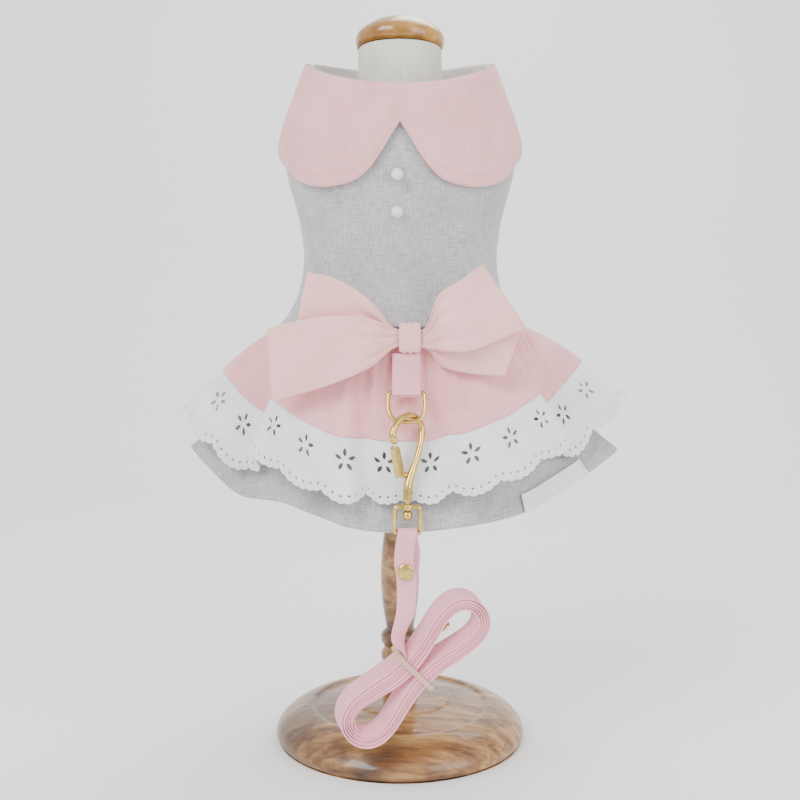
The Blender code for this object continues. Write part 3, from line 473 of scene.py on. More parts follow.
@dataclass
class Shape:
    """Faces gathered for one piece; grids repeat their first column at a closed seam and are welded."""

    verts: list[np.ndarray] = field(default_factory=list)
    faces: list[np.ndarray] = field(default_factory=list)
    uvs: list[np.ndarray] = field(default_factory=list)
    count: int = 0

    def mesh(self, verts: np.ndarray, faces: np.ndarray, uv: np.ndarray) -> "Shape":
        """Add faces, all with the same number of corners, and one UV for each vertex."""
        self.verts.append(verts)
        self.faces.append(faces + self.count)
        self.uvs.append(uv)
        self.count += len(verts)
        return self

    def grid(self, points: np.ndarray, uv: np.ndarray | None = None) -> "Shape":
        """Add a grid of points (rows, columns) as quads."""
        rows, cols = points.shape[:2]
        i, j = np.mgrid[0:rows - 1, 0:cols - 1]
        first = (i * cols + j).ravel()
        faces = np.stack([first, first + 1, first + cols + 1, first + cols], axis=1)
        uv = arc_uv(points) if uv is None else uv
        return self.mesh(points.reshape(-1, 3), faces, uv.reshape(-1, 2))

    def build(self, name: str, material: bpy.types.Material, thickness: float = 0.0,
              crease: float = 50.0) -> bpy.types.Object:
        """Make the object.

        Args:
            name: the piece's name.
            material: its finish.
            thickness: cloth thickness, added evenly on both sides; 0 for a closed shape.
            crease: edges sharper than this many degrees stay sharp.

        Returns:
            The object, at the origin, with its place in its mesh.
        """
        verts, uvs = np.vstack(self.verts), np.vstack(self.uvs)
        mesh = bpy.data.meshes.new(name)
        loops = [face for block in self.faces for face in block]
        sizes = np.array([len(face) for face in loops])
        corners = np.concatenate([block.ravel() for block in self.faces])
        mesh.vertices.add(len(verts))
        mesh.vertices.foreach_set("co", verts.astype(np.float32).ravel())
        mesh.loops.add(len(corners))
        mesh.loops.foreach_set("vertex_index", corners.astype(np.int32))
        mesh.polygons.add(len(sizes))
        mesh.polygons.foreach_set("loop_start", np.concatenate([[0], np.cumsum(sizes)[:-1]]).astype(np.int32))
        layer = mesh.uv_layers.new(name="cloth")
        layer.data.foreach_set("uv", uvs[corners].astype(np.float32).ravel())
        mesh.update(calc_edges=True)
        work = bmesh.new()
        work.from_mesh(mesh)
        bmesh.ops.remove_doubles(work, verts=work.verts, dist=2e-6)
        bmesh.ops.dissolve_degenerate(work, edges=work.edges, dist=1e-7)
        bmesh.ops.recalc_face_normals(work, faces=work.faces)
        work.to_mesh(mesh)
        work.free()
        mesh.shade_smooth()
        mesh.set_sharp_from_angle(angle=math.radians(crease))
        item = bpy.data.objects.new(name, mesh)
        bpy.context.scene.collection.objects.link(item)
        mesh.materials.append(material)
        if thickness:
            thick = item.modifiers.new("thickness", "SOLIDIFY")
            thick.thickness = thickness
            thick.offset = 0.0
        return item


def place(item: bpy.types.Object, slot: Slot, *nodes: str, body: Body = Body.ROOT) -> bpy.types.Object:
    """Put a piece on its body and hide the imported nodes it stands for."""
    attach(item, body.value)
    if nodes:
        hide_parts(*nodes)
    LOG.info("%s: %d faces, %.4f m2", item.name, len(item.data.polygons), sum(p.area for p in item.data.polygons))
    return item


SEAM = 243.5 * MM
HALF_X, HALF_Y = 67.5 * MM, 51.5 * MM
CLOTH, FINE_CLOTH, GAP = 1.4 * MM, 1.0 * MM, 0.35 * MM


def rim_height(angle: np.ndarray) -> np.ndarray:
    """Neck rim: 400 mm at the back, 394.5 at the sides and 374 at the front, by a cosine and its square."""
    back = -np.cos(angle)
    return (394.5 + 13.0 * back - 7.5 * back**2) * MM


def body_point(angle: np.ndarray, height: np.ndarray, offset: np.ndarray | float = 0.0) -> np.ndarray:
    """Dress body: an ellipse at each height, its half axes from the table, grown by an offset.

    Args:
        angle: round the body, 0 at the front.
        height: share from the waist seam (0) to the neck rim (1).
        offset: distance outwards.

    Returns:
        Points.
    """
    width, depth = smooth_rows(BODY_ROWS, height)
    x = (HALF_X * width + offset) * np.sin(angle)
    y = -(HALF_Y * depth + offset) * np.cos(angle)
    z = SEAM + (rim_height(angle) - SEAM) * height
    return np.stack(np.broadcast_arrays(x, y, z), axis=-1)


def hem_point(angle: np.ndarray, share: np.ndarray, rows: tuple, inset: float, power: float,
              bulge: float) -> np.ndarray:
    """Skirt tier: each line runs from the waist seam to its place on the hem table, outwards by a power.

    Args:
        angle: the cloth's own angle.
        share: 0 at the waist seam, 1 at the hem.
        rows: the hem's table of folds.
        inset: how far inside the bodice's outer face the tier starts.
        power: how late the cloth swings out.
        bulge: lift of the sides half way down.

    Returns:
        Points on the cloth's middle surface.
    """
    half_x, half_y = HALF_X * 1.05 - inset, HALF_Y * 1.11 - inset
    across, forward, drop = smooth_rows(rows, np.degrees(angle), 360.0)
    out = np.clip(share, 0.0, 2.0) ** power
    seam_x, seam_y = half_x * np.sin(angle), -half_y * np.cos(angle)
    x = seam_x + (130 * MM * across - seam_x) * out
    y = seam_y + (-92 * MM * forward - seam_y) * out
    z = SEAM - 0.8 * MM - 89 * MM * drop * share + bulge * np.sin(angle) ** 2 * 4 * share * (1 - share)
    return np.stack(np.broadcast_arrays(x, y, z), axis=-1)


def normals_of(surface: Callable, angle: np.ndarray, share: np.ndarray) -> np.ndarray:
    """Unit normals, outwards, from small steps in the surface's two parameters."""
    step = 1e-4
    along = surface(angle + step, share) - surface(angle - step, share)
    down = surface(angle, share + step) - surface(angle, np.maximum(share - step, 1e-5))
    cross = -np.cross(along, down)
    return cross / np.linalg.norm(cross, axis=-1, keepdims=True)


def gathered(surface: Callable, angle: np.ndarray, share: np.ndarray, seed: int, depth: float) -> np.ndarray:
    """Tier with gathers: fine ripples at the seam fade down and give way to fewer, softer ones."""
    base = surface(angle, share)
    fine = waves(angle, seed, (70, 120)) * np.exp(-share / 0.16) * np.clip(share / 0.015, 0.25, 1)
    middle = waves(angle, seed + 1, (34, 62)) * np.exp(-((share - 0.12) / 0.22) ** 2)
    soft = waves(angle, seed + 2, (16, 30)) * np.exp(-((share - 0.4) / 0.35) ** 2)
    lift = depth * (0.4 + 0.55 * fine + 0.9 * middle + 0.7 * soft) * np.clip(share / 0.03, 0, 1) ** 0.5
    return base + normals_of(surface, angle, share) * lift[..., None]


def upper_base(angle: np.ndarray, share: np.ndarray) -> np.ndarray:
    """The pink and white tier before its gathers."""
    return hem_point(angle, share, UPPER_HEM, CLOTH / 2, 1.35, 9 * MM)


def upper_tier(angle: np.ndarray, share: np.ndarray) -> np.ndarray:
    """The pink and white tier, gathered."""
    return gathered(upper_base, angle, share, 11, 1.7 * MM)


def lower_base(angle: np.ndarray, share: np.ndarray) -> np.ndarray:
    """The grey tier before its gathers."""
    return hem_point(angle, share, LOWER_HEM, 2.2 * MM + CLOTH / 2, 1.5, 0.0)


def lower_tier(angle: np.ndarray, share: np.ndarray) -> np.ndarray:
    """The grey tier, gathered a little."""
    return gathered(lower_base, angle, share, 37, 0.3 * MM)


def tube(path: np.ndarray, radius: np.ndarray | float, sides: int = 16, closed: bool = False,
         face: tuple = (0.0, 1.0, 0.0)) -> np.ndarray:
    """Round bar: circles square to a path; an open bar ends in two poles.

    Args:
        path: points; a closed path doesn't repeat its first.
        radius: one radius, or one for each point.
        sides: points round the bar.
        closed: whether the path closes on itself.
        face: direction that keeps the circles from twisting.

    Returns:
        Grid of points.
    """
    path = np.asarray(path, dtype=float)
    radius = np.broadcast_to(np.asarray(radius, dtype=float), (len(path),))
    if closed:
        tangent = np.roll(path, -1, axis=0) - np.roll(path, 1, axis=0)
    else:
        tangent = np.gradient(path, axis=0)
    tangent /= np.linalg.norm(tangent, axis=1, keepdims=True)
    side = np.cross(tangent, np.asarray(face, dtype=float))
    side /= np.linalg.norm(side, axis=1, keepdims=True)
    other = np.cross(tangent, side)
    turn = np.linspace(0, 2 * np.pi, sides + 1)
    turn[-1] = 0.0
    ring = side[:, None] * np.cos(turn)[None, :, None] + other[:, None] * np.sin(turn)[None, :, None]
    points = path[:, None] + ring * radius[:, None, None]
    if closed:
        return np.concatenate([points, points[:1]])
    ends = [np.repeat(path[k][None, None], sides + 1, axis=1) for k in (0, -1)]
    return np.concatenate([ends[0], points, ends[1]])


def strap(path: np.ndarray, across: np.ndarray, width: float, thick: float, crown: float = 0.0) -> np.ndarray:
    """Flat strap with rounded edges: a flattened ring of points carried along a path.

    Args:
        path: points along the strap.
        across: direction of the strap's width, one or one for each point.
        width: width of the strap.
        thick: thickness of the strap.
        crown: how far the middle stands out of both faces.

    Returns:
        Grid of points, with its two ends closed to a line.
    """
    path = np.asarray(path, dtype=float)
    across = np.broadcast_to(np.asarray(across, dtype=float), path.shape)
    across = across / np.linalg.norm(across, axis=1, keepdims=True)
    tangent = np.gradient(path, axis=0)
    face = np.cross(tangent, across)
    face /= np.linalg.norm(face, axis=1, keepdims=True)
    a = np.array([0.5, 0.47, 0.4, 0.2, 0.0, -0.2, -0.4, -0.47, -0.5])
    b = np.array([0.0, 0.4, 0.5, 0.5, 0.5, 0.5, 0.5, 0.4, 0.0])
    rim = np.concatenate([np.stack([a, b], axis=1), np.stack([-a[1:], -b[1:]], axis=1)])
    swell = crown * (1 - (2 * rim[:, 0]) ** 2) * np.sign(rim[:, 1])
    points = path[:, None] + across[:, None] * (width * rim[:, 0])[None, :, None] \
        + face[:, None] * (thick * rim[:, 1] + swell)[None, :, None]
    flat = (path[:, None] + across[:, None] * (width * rim[:, 0])[None, :, None])[[0, -1]]
    return np.concatenate([flat[:1], points, flat[1:]])


def strap_uv(points: np.ndarray, width: float) -> np.ndarray:
    """UV in millimetres of a strap: u its length, v across it."""
    middle = points.mean(axis=1)
    run = np.concatenate([[0], np.cumsum(np.linalg.norm(np.diff(middle, axis=0), axis=1))]) / MM
    half = (points.shape[1] - 1) // 2
    across = np.abs(np.linspace(-1, 1, 2 * half + 1))[:points.shape[1]] * width / MM
    return np.stack(np.broadcast_arrays(run[:, None], across[None, :]), axis=-1)


def stitches(shape: Shape, path: np.ndarray, normal: np.ndarray, stitch: float = 2.0, gap: float = 0.9,
             thread: float = 0.28) -> None:
    """Row of stitches: small flattened capsules along a path, each sunk at both ends.

    Args:
        shape: where the stitches go.
        path: dense points along the seam.
        normal: outward normal at each point.
        stitch: length in millimetres.
        gap: space between stitches in millimetres.
        thread: half the thread's width in millimetres.
    """
    run = np.concatenate([[0], np.cumsum(np.linalg.norm(np.diff(path, axis=0), axis=1))]) / MM
    starts = np.arange(0.2, run[-1] - stitch, stitch + gap)
    at = starts[:, None] + np.array([0.0, 0.12, 0.5, 0.88, 1.0]) * stitch
    spine = np.stack([np.interp(at, run, path[:, k]) for k in range(3)], axis=-1)
    up = np.stack([np.interp(at, run, normal[:, k]) for k in range(3)], axis=-1)
    along = spine[:, -1:] - spine[:, :1]
    along /= np.linalg.norm(along, axis=-1, keepdims=True)
    side = np.cross(up, along + 0 * up)
    size = np.array([0.0, 0.75, 1.0, 0.75, 0.0])[None, :, None, None] * thread * MM
    turn = np.linspace(0, 2 * np.pi, 7)
    turn[-1] = 0.0
    ring = side[:, :, None] * np.cos(turn)[:, None] + up[:, :, None] * np.sin(turn)[:, None] * 0.7
    points = spine[:, :, None] + ring * size
    for block in points:
        shape.grid(block, np.zeros((*block.shape[:2], 2)))


@dataclass
class Stand:
    """Turned foot, baluster post, cloth-covered form and cap."""

    base_radius: float = 73.6 * MM
    post_radius: float = 11.4 * MM
    cap_radius: float = 25.5 * MM
    neck_radius: float = 24.0 * MM
    neck_top: float = 403.0 * MM
    sides: int = 144
    base_rows: tuple = (
        (0.0, 0.0), (66.0, 0.0), (70.8, 0.15), (72.4, 0.9), (73.5, 2.6), (73.6, 4.6), (73.0, 6.8), (71.2, 9.6),
        (67.6, 13.0), (62.4, 16.0), (57.8, 17.9), (54.4, 18.9), (52.6, 19.0), (51.6, 18.5), (50.8, 18.0),
        (49.4, 18.0), (47.2, 18.5), (42.0, 19.6), (35.0, 20.7), (31.4, 21.1), (30.2, 21.6), (29.2, 22.2),
        (25.0, 22.8), (20.0, 23.0), (12.0, 23.0), (0.0, 23.0))
    post_rows: tuple = (
        (0.0, 23.1), (9.6, 23.2), (10.1, 24.4), (10.1, 44.6), (10.5, 45.4), (11.2, 46.6), (11.3, 48.6), (10.8, 50.4),
        (9.8, 51.6), (9.6, 53.0), (9.9, 54.6), (11.0, 56.4), (11.3, 58.6), (11.2, 60.6), (10.0, 62.4),
        (8.6, 63.8), (8.4, 65.6), (8.9, 69.6), (10.2, 77.6), (11.1, 87.0), (11.4, 98.0), (11.0, 109.0),
        (10.0, 118.0), (9.2, 125.0), (8.9, 134.0), (8.9, 170.0), (8.9, 204.4), (0.0, 204.5))
    cap_rows: tuple = (
        (0.0, 403.4), (22.6, 403.4), (23.9, 403.8), (25.1, 405.0), (25.5, 406.6), (25.5, 408.4), (24.9, 410.4),
        (23.0, 412.8), (19.8, 415.2), (15.4, 417.6), (10.0, 419.3), (5.0, 420.1), (0.0, 420.3))

    def turned(self, rows: tuple) -> np.ndarray:
        """Surface of revolution of a smooth outline in millimetres, closed at both poles."""
        outline = spline(np.asarray(rows), 5)
        outline[:, 0] = np.maximum(outline[:, 0], 0.0)
        outline[[0, -1], 0] = 0.0
        turn = np.linspace(0, 2 * np.pi, self.sides + 1)
        turn[-1] = 0.0
        r, z = outline[:, :1] * MM, outline[:, 1:] * MM
        return np.stack([r * np.cos(turn), r * np.sin(turn), z + 0 * turn], axis=-1)

    def form(self) -> np.ndarray:
        """Torso and neck: rings widen to the body's section, close in at the shoulder and run up the neck.

        A fine ridge at the centre of the front stands for the cover's seam.

        Returns:
            Grid of points with closed ends.
        """
        angle = np.linspace(-np.pi, np.pi, 361)
        angle[-1] = -np.pi
        heights = np.array([0.05, 0.12, 0.20, 0.28, 0.40, 0.52, 0.62, 0.71, 0.80])
        rings = []
        for width, depth, height in ((0.0, 0.0, 0.0), (0.6, 0.62, 0.0), (0.76, 0.8, 0.01), (0.82, 0.86, 0.07),
                                     (0.94, 0.98, 0.35), (0.955, 1.01, 0.92)):
            z = (205 + 38.5 * height) * MM
            rings.append(np.stack([HALF_X * width * np.sin(angle), -HALF_Y * depth * np.cos(angle),
                                   z + 0 * angle], axis=-1))
        rings += [body_point(angle, height, -(CLOTH + 3 * GAP)) for height in heights]
        neck = np.stack([np.sin(angle), -np.cos(angle), 0 * angle], axis=-1) * self.neck_radius
        rise = np.array([0.0, 0.0, 1.0])
        rings += [rings[-1] * 0.45 + (neck + rise * 371 * MM) * 0.55 + rise * 2 * MM, neck + rise * 371 * MM]
        rings += [neck + rise * z * MM for z in (378.0, 386.0, 394.0, 401.6)]
        rings += [neck * 0.975 + rise * 402.9 * MM, neck * 0.6 + rise * 403 * MM, neck * 0 + rise * 403 * MM]
        rings = np.array(rings)
        body = spline(rings[3:-3].reshape(len(rings) - 6, -1), 6).reshape(-1, len(angle), 3)
        points = np.concatenate([rings[:3], body, rings[-3:]])
        out = points * (1.0, 1.0, 0.0)
        out /= np.maximum(np.linalg.norm(out, axis=-1, keepdims=True), 1e-9)
        high = np.clip((points[..., 2] - 0.36) / 0.01, 0, 1)
        ridge = 0.35 * MM * (np.exp(-(angle / 0.022) ** 2) - 1.2 * np.exp(-((angle - 0.055) / 0.02) ** 2)) * high
        return points + out * ridge[..., None]

    def build(self, finishes: Finishes) -> None:
        """Build and dress the four pieces."""
        for name, rows, key, slot in (("stand_base_looks", self.base_rows, "wood", Slot.WOOD),
                                      ("stand_post_looks", self.post_rows, "wood", Slot.WOOD),
                                      ("neck_cap_looks", self.cap_rows, "honey", Slot.HONEY)):
            piece = Shape().grid(self.turned(rows)).build(name, finishes[key], crease=60)
            place(piece, slot, name.removesuffix("_looks"))
        form = Shape().grid(self.form()).build("form_body_looks", finishes["canvas"], crease=60)
        place(form, Slot.CANVAS, "form_body")


@dataclass
class Bodice:
    """Grey linen body with its leg holes, the white facing, the pink collar and the pearls."""

    hole: float = 21.0 * MM
    columns: int = 320
    rows: int = 110
    collar_low: float = 319.4 * MM
    collar_notch: float = 33.0 * MM
    collar_lift: float = 1.6 * MM
    pearl: float = 3.25 * MM
    pearl_x: float = -1.5 * MM
    pearl_heights: tuple = (("pearl_upper", 324.6 * MM), ("pearl_lower", 305.1 * MM))

    def surface(self, angle: np.ndarray, height: np.ndarray, offset: np.ndarray | float = 0.0) -> np.ndarray:
        """The body with slight pulls in the cloth: broad ripples over the chest and short ones at the waist."""
        broad = waves(angle + 0.5 * height, 5, (3, 9)) * np.sin(np.pi * height) * 0.5 * MM
        waist = waves(angle, 6, (24, 48)) * np.exp(-height / 0.06) * 0.45 * MM
        return body_point(angle, height, offset + broad + waist)

    def leg_centres(self) -> list[np.ndarray]:
        """Centres of the two leg holes, at the back."""
        return [body_point(np.array([math.radians(180 - 40 * side)]), np.array([0.58]))[0] for side in (-1, 1)]

    def shell(self, finishes: Finishes) -> None:
        """Linen shell: cells inside a leg hole are left out and their rim is drawn onto the hole's circle."""
        angle = np.linspace(-np.pi, np.pi, self.columns + 1)
        angle[-1] = -np.pi
        height = np.linspace(0, 1, self.rows)[:, None]
        points = self.surface(angle[None, :], height, -CLOTH / 2)
        uv = arc_uv(np.concatenate([points[:, :-1], points[:, -1:] + 0.0], axis=1))
        uv[:, -1, 0] = uv[:, -2, 0] * 2 - uv[:, -3, 0]
        shape = Shape().grid(points, uv)
        verts, faces = shape.verts[0].copy(), shape.faces[0]
        trim = Shape()
        for side, centre in zip((-1, 1), self.leg_centres()):
            turn = math.radians(180 - 40 * side)
            out = np.array([math.sin(turn), -math.cos(turn), 0.0])
            way = np.array([math.cos(turn), math.sin(turn), 0.0])
            near = (verts - centre) @ out > -30 * MM
            flat = np.stack([(verts - centre) @ way, verts[:, 2] - centre[2]], axis=1)
            reach = np.linalg.norm(flat, axis=1)
            inside = near & (reach < self.hole)
            rim = faces[inside[faces].any(axis=1) & ~inside[faces].all(axis=1)]
            faces = faces[~inside[faces].all(axis=1)]
            snap = np.unique(rim[inside[rim]])
            grow = (self.hole / np.maximum(reach[snap], 1e-6))[:, None]
            verts[snap] = verts[snap] + (flat[snap] * (grow - 1))[:, :1] * way \
                + (flat[snap] * (grow - 1))[:, 1:] * np.array([0, 0, 1.0])
            ring = np.linspace(0, 2 * np.pi, 97)[:-1]
            plane = np.stack([np.cos(ring), np.sin(ring)], axis=1) * self.hole
            path = centre + plane[:, :1] * way + plane[:, 1:] * np.array([0, 0, 1.0])
            path = path + out * (self.depth_at(path, out) - CLOTH / 2)[:, None]
            piping = tube(path, 1.35 * MM, 12, closed=True, face=tuple(out))
            trim.grid(piping)
            outer = centre + plane[:, :1] * 1.13 * way + plane[:, 1:] * 1.13 * np.array([0, 0, 1.0])
            outer = outer + out * (self.depth_at(outer, out) + 0.1 * MM)[:, None]
            stitches(trim, np.concatenate([outer, outer[:1]]), np.broadcast_to(out, (97, 3)))
        shape.verts[0], shape.faces[0] = verts, faces
        item = place(shape.build("bodice_looks", finishes["linen"], CLOTH), Slot.LINEN, "bodice")
        place(trim.build("bodice_leg_bindings", finishes["linen"]), Slot.LINEN)

    def depth_at(self, points: np.ndarray, out: np.ndarray) -> np.ndarray:
        """Distance along out from each point to the body's ellipse at that height."""
        height = (points[:, 2] - SEAM) / (0.388 - SEAM)
        width, depth = smooth_rows(BODY_ROWS, height)
        a, b = HALF_X * width, HALF_Y * depth
        p, q = points[:, 0] / a, points[:, 1] / b
        u, v = out[0] / a, out[1] / b
        half = p * u + q * v
        square = u**2 + v**2
        return (-half + np.sqrt(np.maximum(half**2 - square * (p**2 + q**2 - 1), 0))) / square

    def lining(self, finishes: Finishes) -> None:
        """White facing, 1 mm, inside the top of the bodice."""
        angle = np.linspace(-np.pi, np.pi, self.columns + 1)
        angle[-1] = -np.pi
        points = body_point(angle[None, :], np.linspace(0.88, 0.997, 18)[:, None], -(CLOTH + GAP + FINE_CLOTH / 2))
        item = Shape().grid(points).build("neck_lining_looks", finishes["white"], FINE_CLOTH)
        place(item, Slot.WHITE, "neck_lining")

    def collar_point(self, angle: np.ndarray, share: np.ndarray, offset: float) -> np.ndarray:
        """Collar: from the rim (share 0) down to its edge (1), which the table gives by angle."""
        edge, = smooth_rows(COLLAR_ROWS, np.abs(np.degrees(angle)))
        low = (self.collar_low + self.collar_notch * edge - SEAM) / (rim_height(angle) - SEAM)
        ripple = waves(angle, 8, (3, 10)) * 0.35 * MM * share
        return body_point(angle, 1 + (low - 1) * share, offset + self.collar_lift * share**2 + ripple)

    def collar(self, finishes: Finishes) -> None:
        """Collar: two layers of poplin closed round its edge, rolled over at the rim, with an edge stitch."""
        half = np.linspace(0, 1, 301) ** 1.35 * np.pi
        angle = np.concatenate([-half[::-1], half[1:]])
        angle[-1] = -np.pi
        share = np.linspace(0, 1, 60) ** 0.9
        base = GAP + 0.25 * MM
        round_off = np.sqrt(np.clip(1 - ((share - 0.97) / 0.03).clip(0) ** 2, 0, 1)) \
            * np.sqrt(np.clip(1 - ((0.03 - share) / 0.03).clip(0) ** 2, 0, 1))
        seam_line = 0.25 * MM * np.exp(-((share - 0.90) / 0.02) ** 2)
        middle = base + CLOTH / 2
        outer = np.array([self.collar_point(angle, s, middle + CLOTH / 2 * r - d)
                          for s, r, d in zip(share, round_off, seam_line)])
        inner = np.array([self.collar_point(angle, s, middle - CLOTH / 2 * r) for s, r in zip(share, round_off)])
        uv = arc_uv(outer)
        shape = Shape().grid(outer, uv).grid(inner[::-1], uv[::-1])
        item = place(shape.build("collar_looks", finishes["pink"], crease=70), Slot.PINK, "collar")
        thread = Shape()
        fine = np.linspace(-1, 1, 1601)
        fine = np.sign(fine) * np.abs(fine) ** 1.35 * np.pi
        for share_at in (0.90, 0.07):
            path = self.collar_point(fine, np.full_like(fine, share_at), middle + CLOTH / 2 - 0.05 * MM)
            out = path * (1, 1, 0)
            out /= np.linalg.norm(out, axis=1, keepdims=True)
            stitches(thread, path, out, 2.0, 0.8, 0.2)
        place(thread.build("collar_stitches", finishes["pink_thread"]), Slot.PINK)

    def pearls(self, finishes: Finishes) -> None:
        """Two beads, spheres with a small thread hole's dimple at the top and bottom."""
        for name, height in self.pearl_heights:
            share = (height - SEAM) / (rim_height(np.zeros(1))[0] - SEAM)
            y = body_point(np.zeros(1), np.array([share]))[0][1] - GAP - self.pearl
            lift = np.linspace(-np.pi / 2, np.pi / 2, 49)[:, None]
            turn = np.linspace(0, 2 * np.pi, 65)
            turn[-1] = 0.0
            r = self.pearl * (1 - 0.09 * np.exp(-((np.abs(lift) - np.pi / 2) / 0.16) ** 2))
            points = np.stack([r * np.cos(lift) * np.cos(turn), r * np.cos(lift) * np.sin(turn),
                               r * np.sin(lift) + 0 * turn], axis=-1) + (self.pearl_x, y, height)
            place(Shape().grid(points).build(name + "_looks", finishes["pearl"], crease=80), Slot.PEARL, name)

    def build(self, finishes: Finishes) -> None:
        """Build and dress the body's pieces."""
        self.shell(finishes)
        self.lining(finishes)
        self.collar(finishes)
        self.pearls(finishes)


def ribbon_ring(path: np.ndarray, normal: np.ndarray, radius: float, sides: int = 6) -> np.ndarray:
    """Closed thread lying on a surface: circles square to a closed path, set by the surface's normal."""
    tangent = np.roll(path, -1, axis=0) - np.roll(path, 1, axis=0)
    tangent /= np.linalg.norm(tangent, axis=1, keepdims=True)
    side = np.cross(tangent, normal)
    side /= np.linalg.norm(side, axis=1, keepdims=True)
    up = np.cross(side, tangent)
    turn = np.linspace(0, 2 * np.pi, sides + 1)
    turn[-1] = 0.0
    points = path[:, None] + radius * (side[:, None] * np.cos(turn)[None, :, None]
                                       + up[:, None] * np.sin(turn)[None, :, None])
    return np.concatenate([points, points[:1]])


@dataclass
class Lace:
    """White eyelet trim: a flat embroidered pattern mapped onto the upper tier's hem."""

    start: float = 0.656
    overlap: float = 0.022
    height: float = 32.0
    flowers: int = 28
    petals: int = 5
    bumps: int = 6
    reach: float = 3.7
    petal: tuple[float, float] = (4.3, 2.3)
    edge_hole: float = 0.75
    scallop: float = 3.4
    bump: float = 0.9
    grid: float = 2.6
    ring: np.ndarray = field(default_factory=lambda: np.linspace(-np.pi, np.pi, 2881))

    def __post_init__(self) -> None:
        """Measure the hem once: the pattern's x is the length along it, in millimetres."""
        line = upper_base(self.ring, np.full_like(self.ring, (1 + self.start) / 2))
        self.run = np.concatenate([[0], np.cumsum(np.linalg.norm(np.diff(line, axis=0), axis=1))]) / MM
        self.total = self.run[-1]
        self.repeat = self.total / self.flowers

    def edge(self, x: np.ndarray) -> np.ndarray:
        """Lower edge: wide scallops, each made of small round bumps."""
        wide = np.abs(np.sin(np.pi * x / self.repeat)) ** 0.8
        small = np.abs(np.sin(np.pi * x * self.bumps / self.repeat)) ** 0.7
        return -self.height + self.scallop * (1 - wide) - self.bump * small

    def lay(self, x: np.ndarray, y: np.ndarray, lift: float = 0.0) -> tuple[np.ndarray, np.ndarray]:
        """Map pattern places to the skirt; returns points and normals."""
        angle = np.interp(x, self.run, self.ring)
        share = self.start - self.overlap + (1 - self.start + self.overlap) * -y / self.height
        normal = normals_of(upper_tier, angle, share)
        sink = 0.9 * MM * np.clip(1 + y / 2.2, 0, 1)
        return upper_tier(angle, share) + normal * (lift - sink)[..., None], normal

    def holes(self) -> list[tuple[np.ndarray, float, float, float]]:
        """Every cut hole: centre, turn, length and width."""
        out = []
        for i in range(self.flowers):
            centre = np.array([self.repeat * (i + 0.5), -13.2])
            for k in range(self.petals):
                turn = 2 * math.pi * k / self.petals + math.pi / 2
                way = np.array([math.cos(turn), math.sin(turn)])
                out.append((centre + way * self.reach, turn, *self.petal))
            for k in range(self.bumps):
                x = self.repeat * (i + (k + 0.5) / self.bumps)
                wide = abs(math.sin(math.pi * x / self.repeat)) ** 0.8
                y = -self.height + self.scallop * (1 - wide) + 2.3
                out.append((np.array([x, y]), 0.0, 2 * self.edge_hole, 2 * self.edge_hole))
        return out

    @staticmethod
    def outline(hole: tuple, steps: int, grow: float = 0.0) -> np.ndarray:
        """Almond or round outline of a hole: its half width falls to nothing at both tips for an almond."""
        centre, turn, length, width = hole
        t = np.linspace(0, 2 * np.pi, steps + 1)[:-1]
        tip = 1.0 if abs(length - width) < 1e-6 else 1.5
        a = (length / 2 + grow) * np.cos(t)
        b = (width / 2 + grow) * np.sign(np.sin(t)) * np.abs(np.sin(t)) ** tip
        way = np.array([math.cos(turn), math.sin(turn)])
        return centre + a[:, None] * way + b[:, None] * np.array([-way[1], way[0]])

    def pattern(self) -> tuple[np.ndarray, np.ndarray]:
        """Triangulate the flat trim with its holes; returns places in millimetres and triangles."""
        low_x = np.linspace(0, self.total, self.flowers * self.bumps * 6 + 1)
        low = np.stack([low_x, self.edge(low_x)], axis=1)
        rise = np.linspace(low[0, 1], 0, 13)[1:]
        right = np.stack([np.full_like(rise, self.total), rise], axis=1)
        top_x = np.linspace(self.total, 0, self.flowers * 10 + 1)[1:]
        top = np.stack([top_x, 0 * top_x], axis=1)
        left = np.stack([0 * rise[:-1], rise[:-1]], axis=1)[::-1]
        points = np.vstack([low, right, top, left])
        edges = [(i, (i + 1) % len(points)) for i in range(len(points))]
        holes = self.holes()
        blocks, count = [points], len(points)
        for hole in holes:
            rim = self.outline(hole, 12 if hole[2] > 2 else 8)
            edges += [(count + k, count + (k + 1) % len(rim)) for k in range(len(rim))]
            blocks.append(rim)
            count += len(rim)
        x, y = np.meshgrid(np.arange(self.grid, self.total - 1, self.grid), np.arange(-self.height, -1, self.grid))
        x, y = x.ravel(), y.ravel()
        keep = y > self.edge(x) + 1.2
        blocks.append(np.stack([x, y], axis=1)[keep])
        flat = delaunay_2d_cdt(np.vstack(blocks).tolist(), edges, [], 1, 1e-4)
        places = np.array([tuple(p) for p in flat[0]])
        faces = np.array([tuple(f) for f in flat[2]])
        middle = places[faces].mean(axis=1)
        cut = np.zeros(len(faces), dtype=bool)
        for centre, turn, length, width in holes:
            near = np.abs(middle - centre).max(axis=1) < length
            a = (middle[near] - centre) @ np.array([math.cos(turn), math.sin(turn)]) / (length / 2)
            b = (middle[near] - centre) @ np.array([-math.sin(turn), math.cos(turn)]) / (width / 2)
            tip = 1.0 if abs(length - width) < 1e-6 else 1.5
            cut[np.flatnonzero(near)[np.abs(b) < np.clip(1 - a**2, 0, 1) ** (tip / 2)]] = True
        return places, faces[~cut]

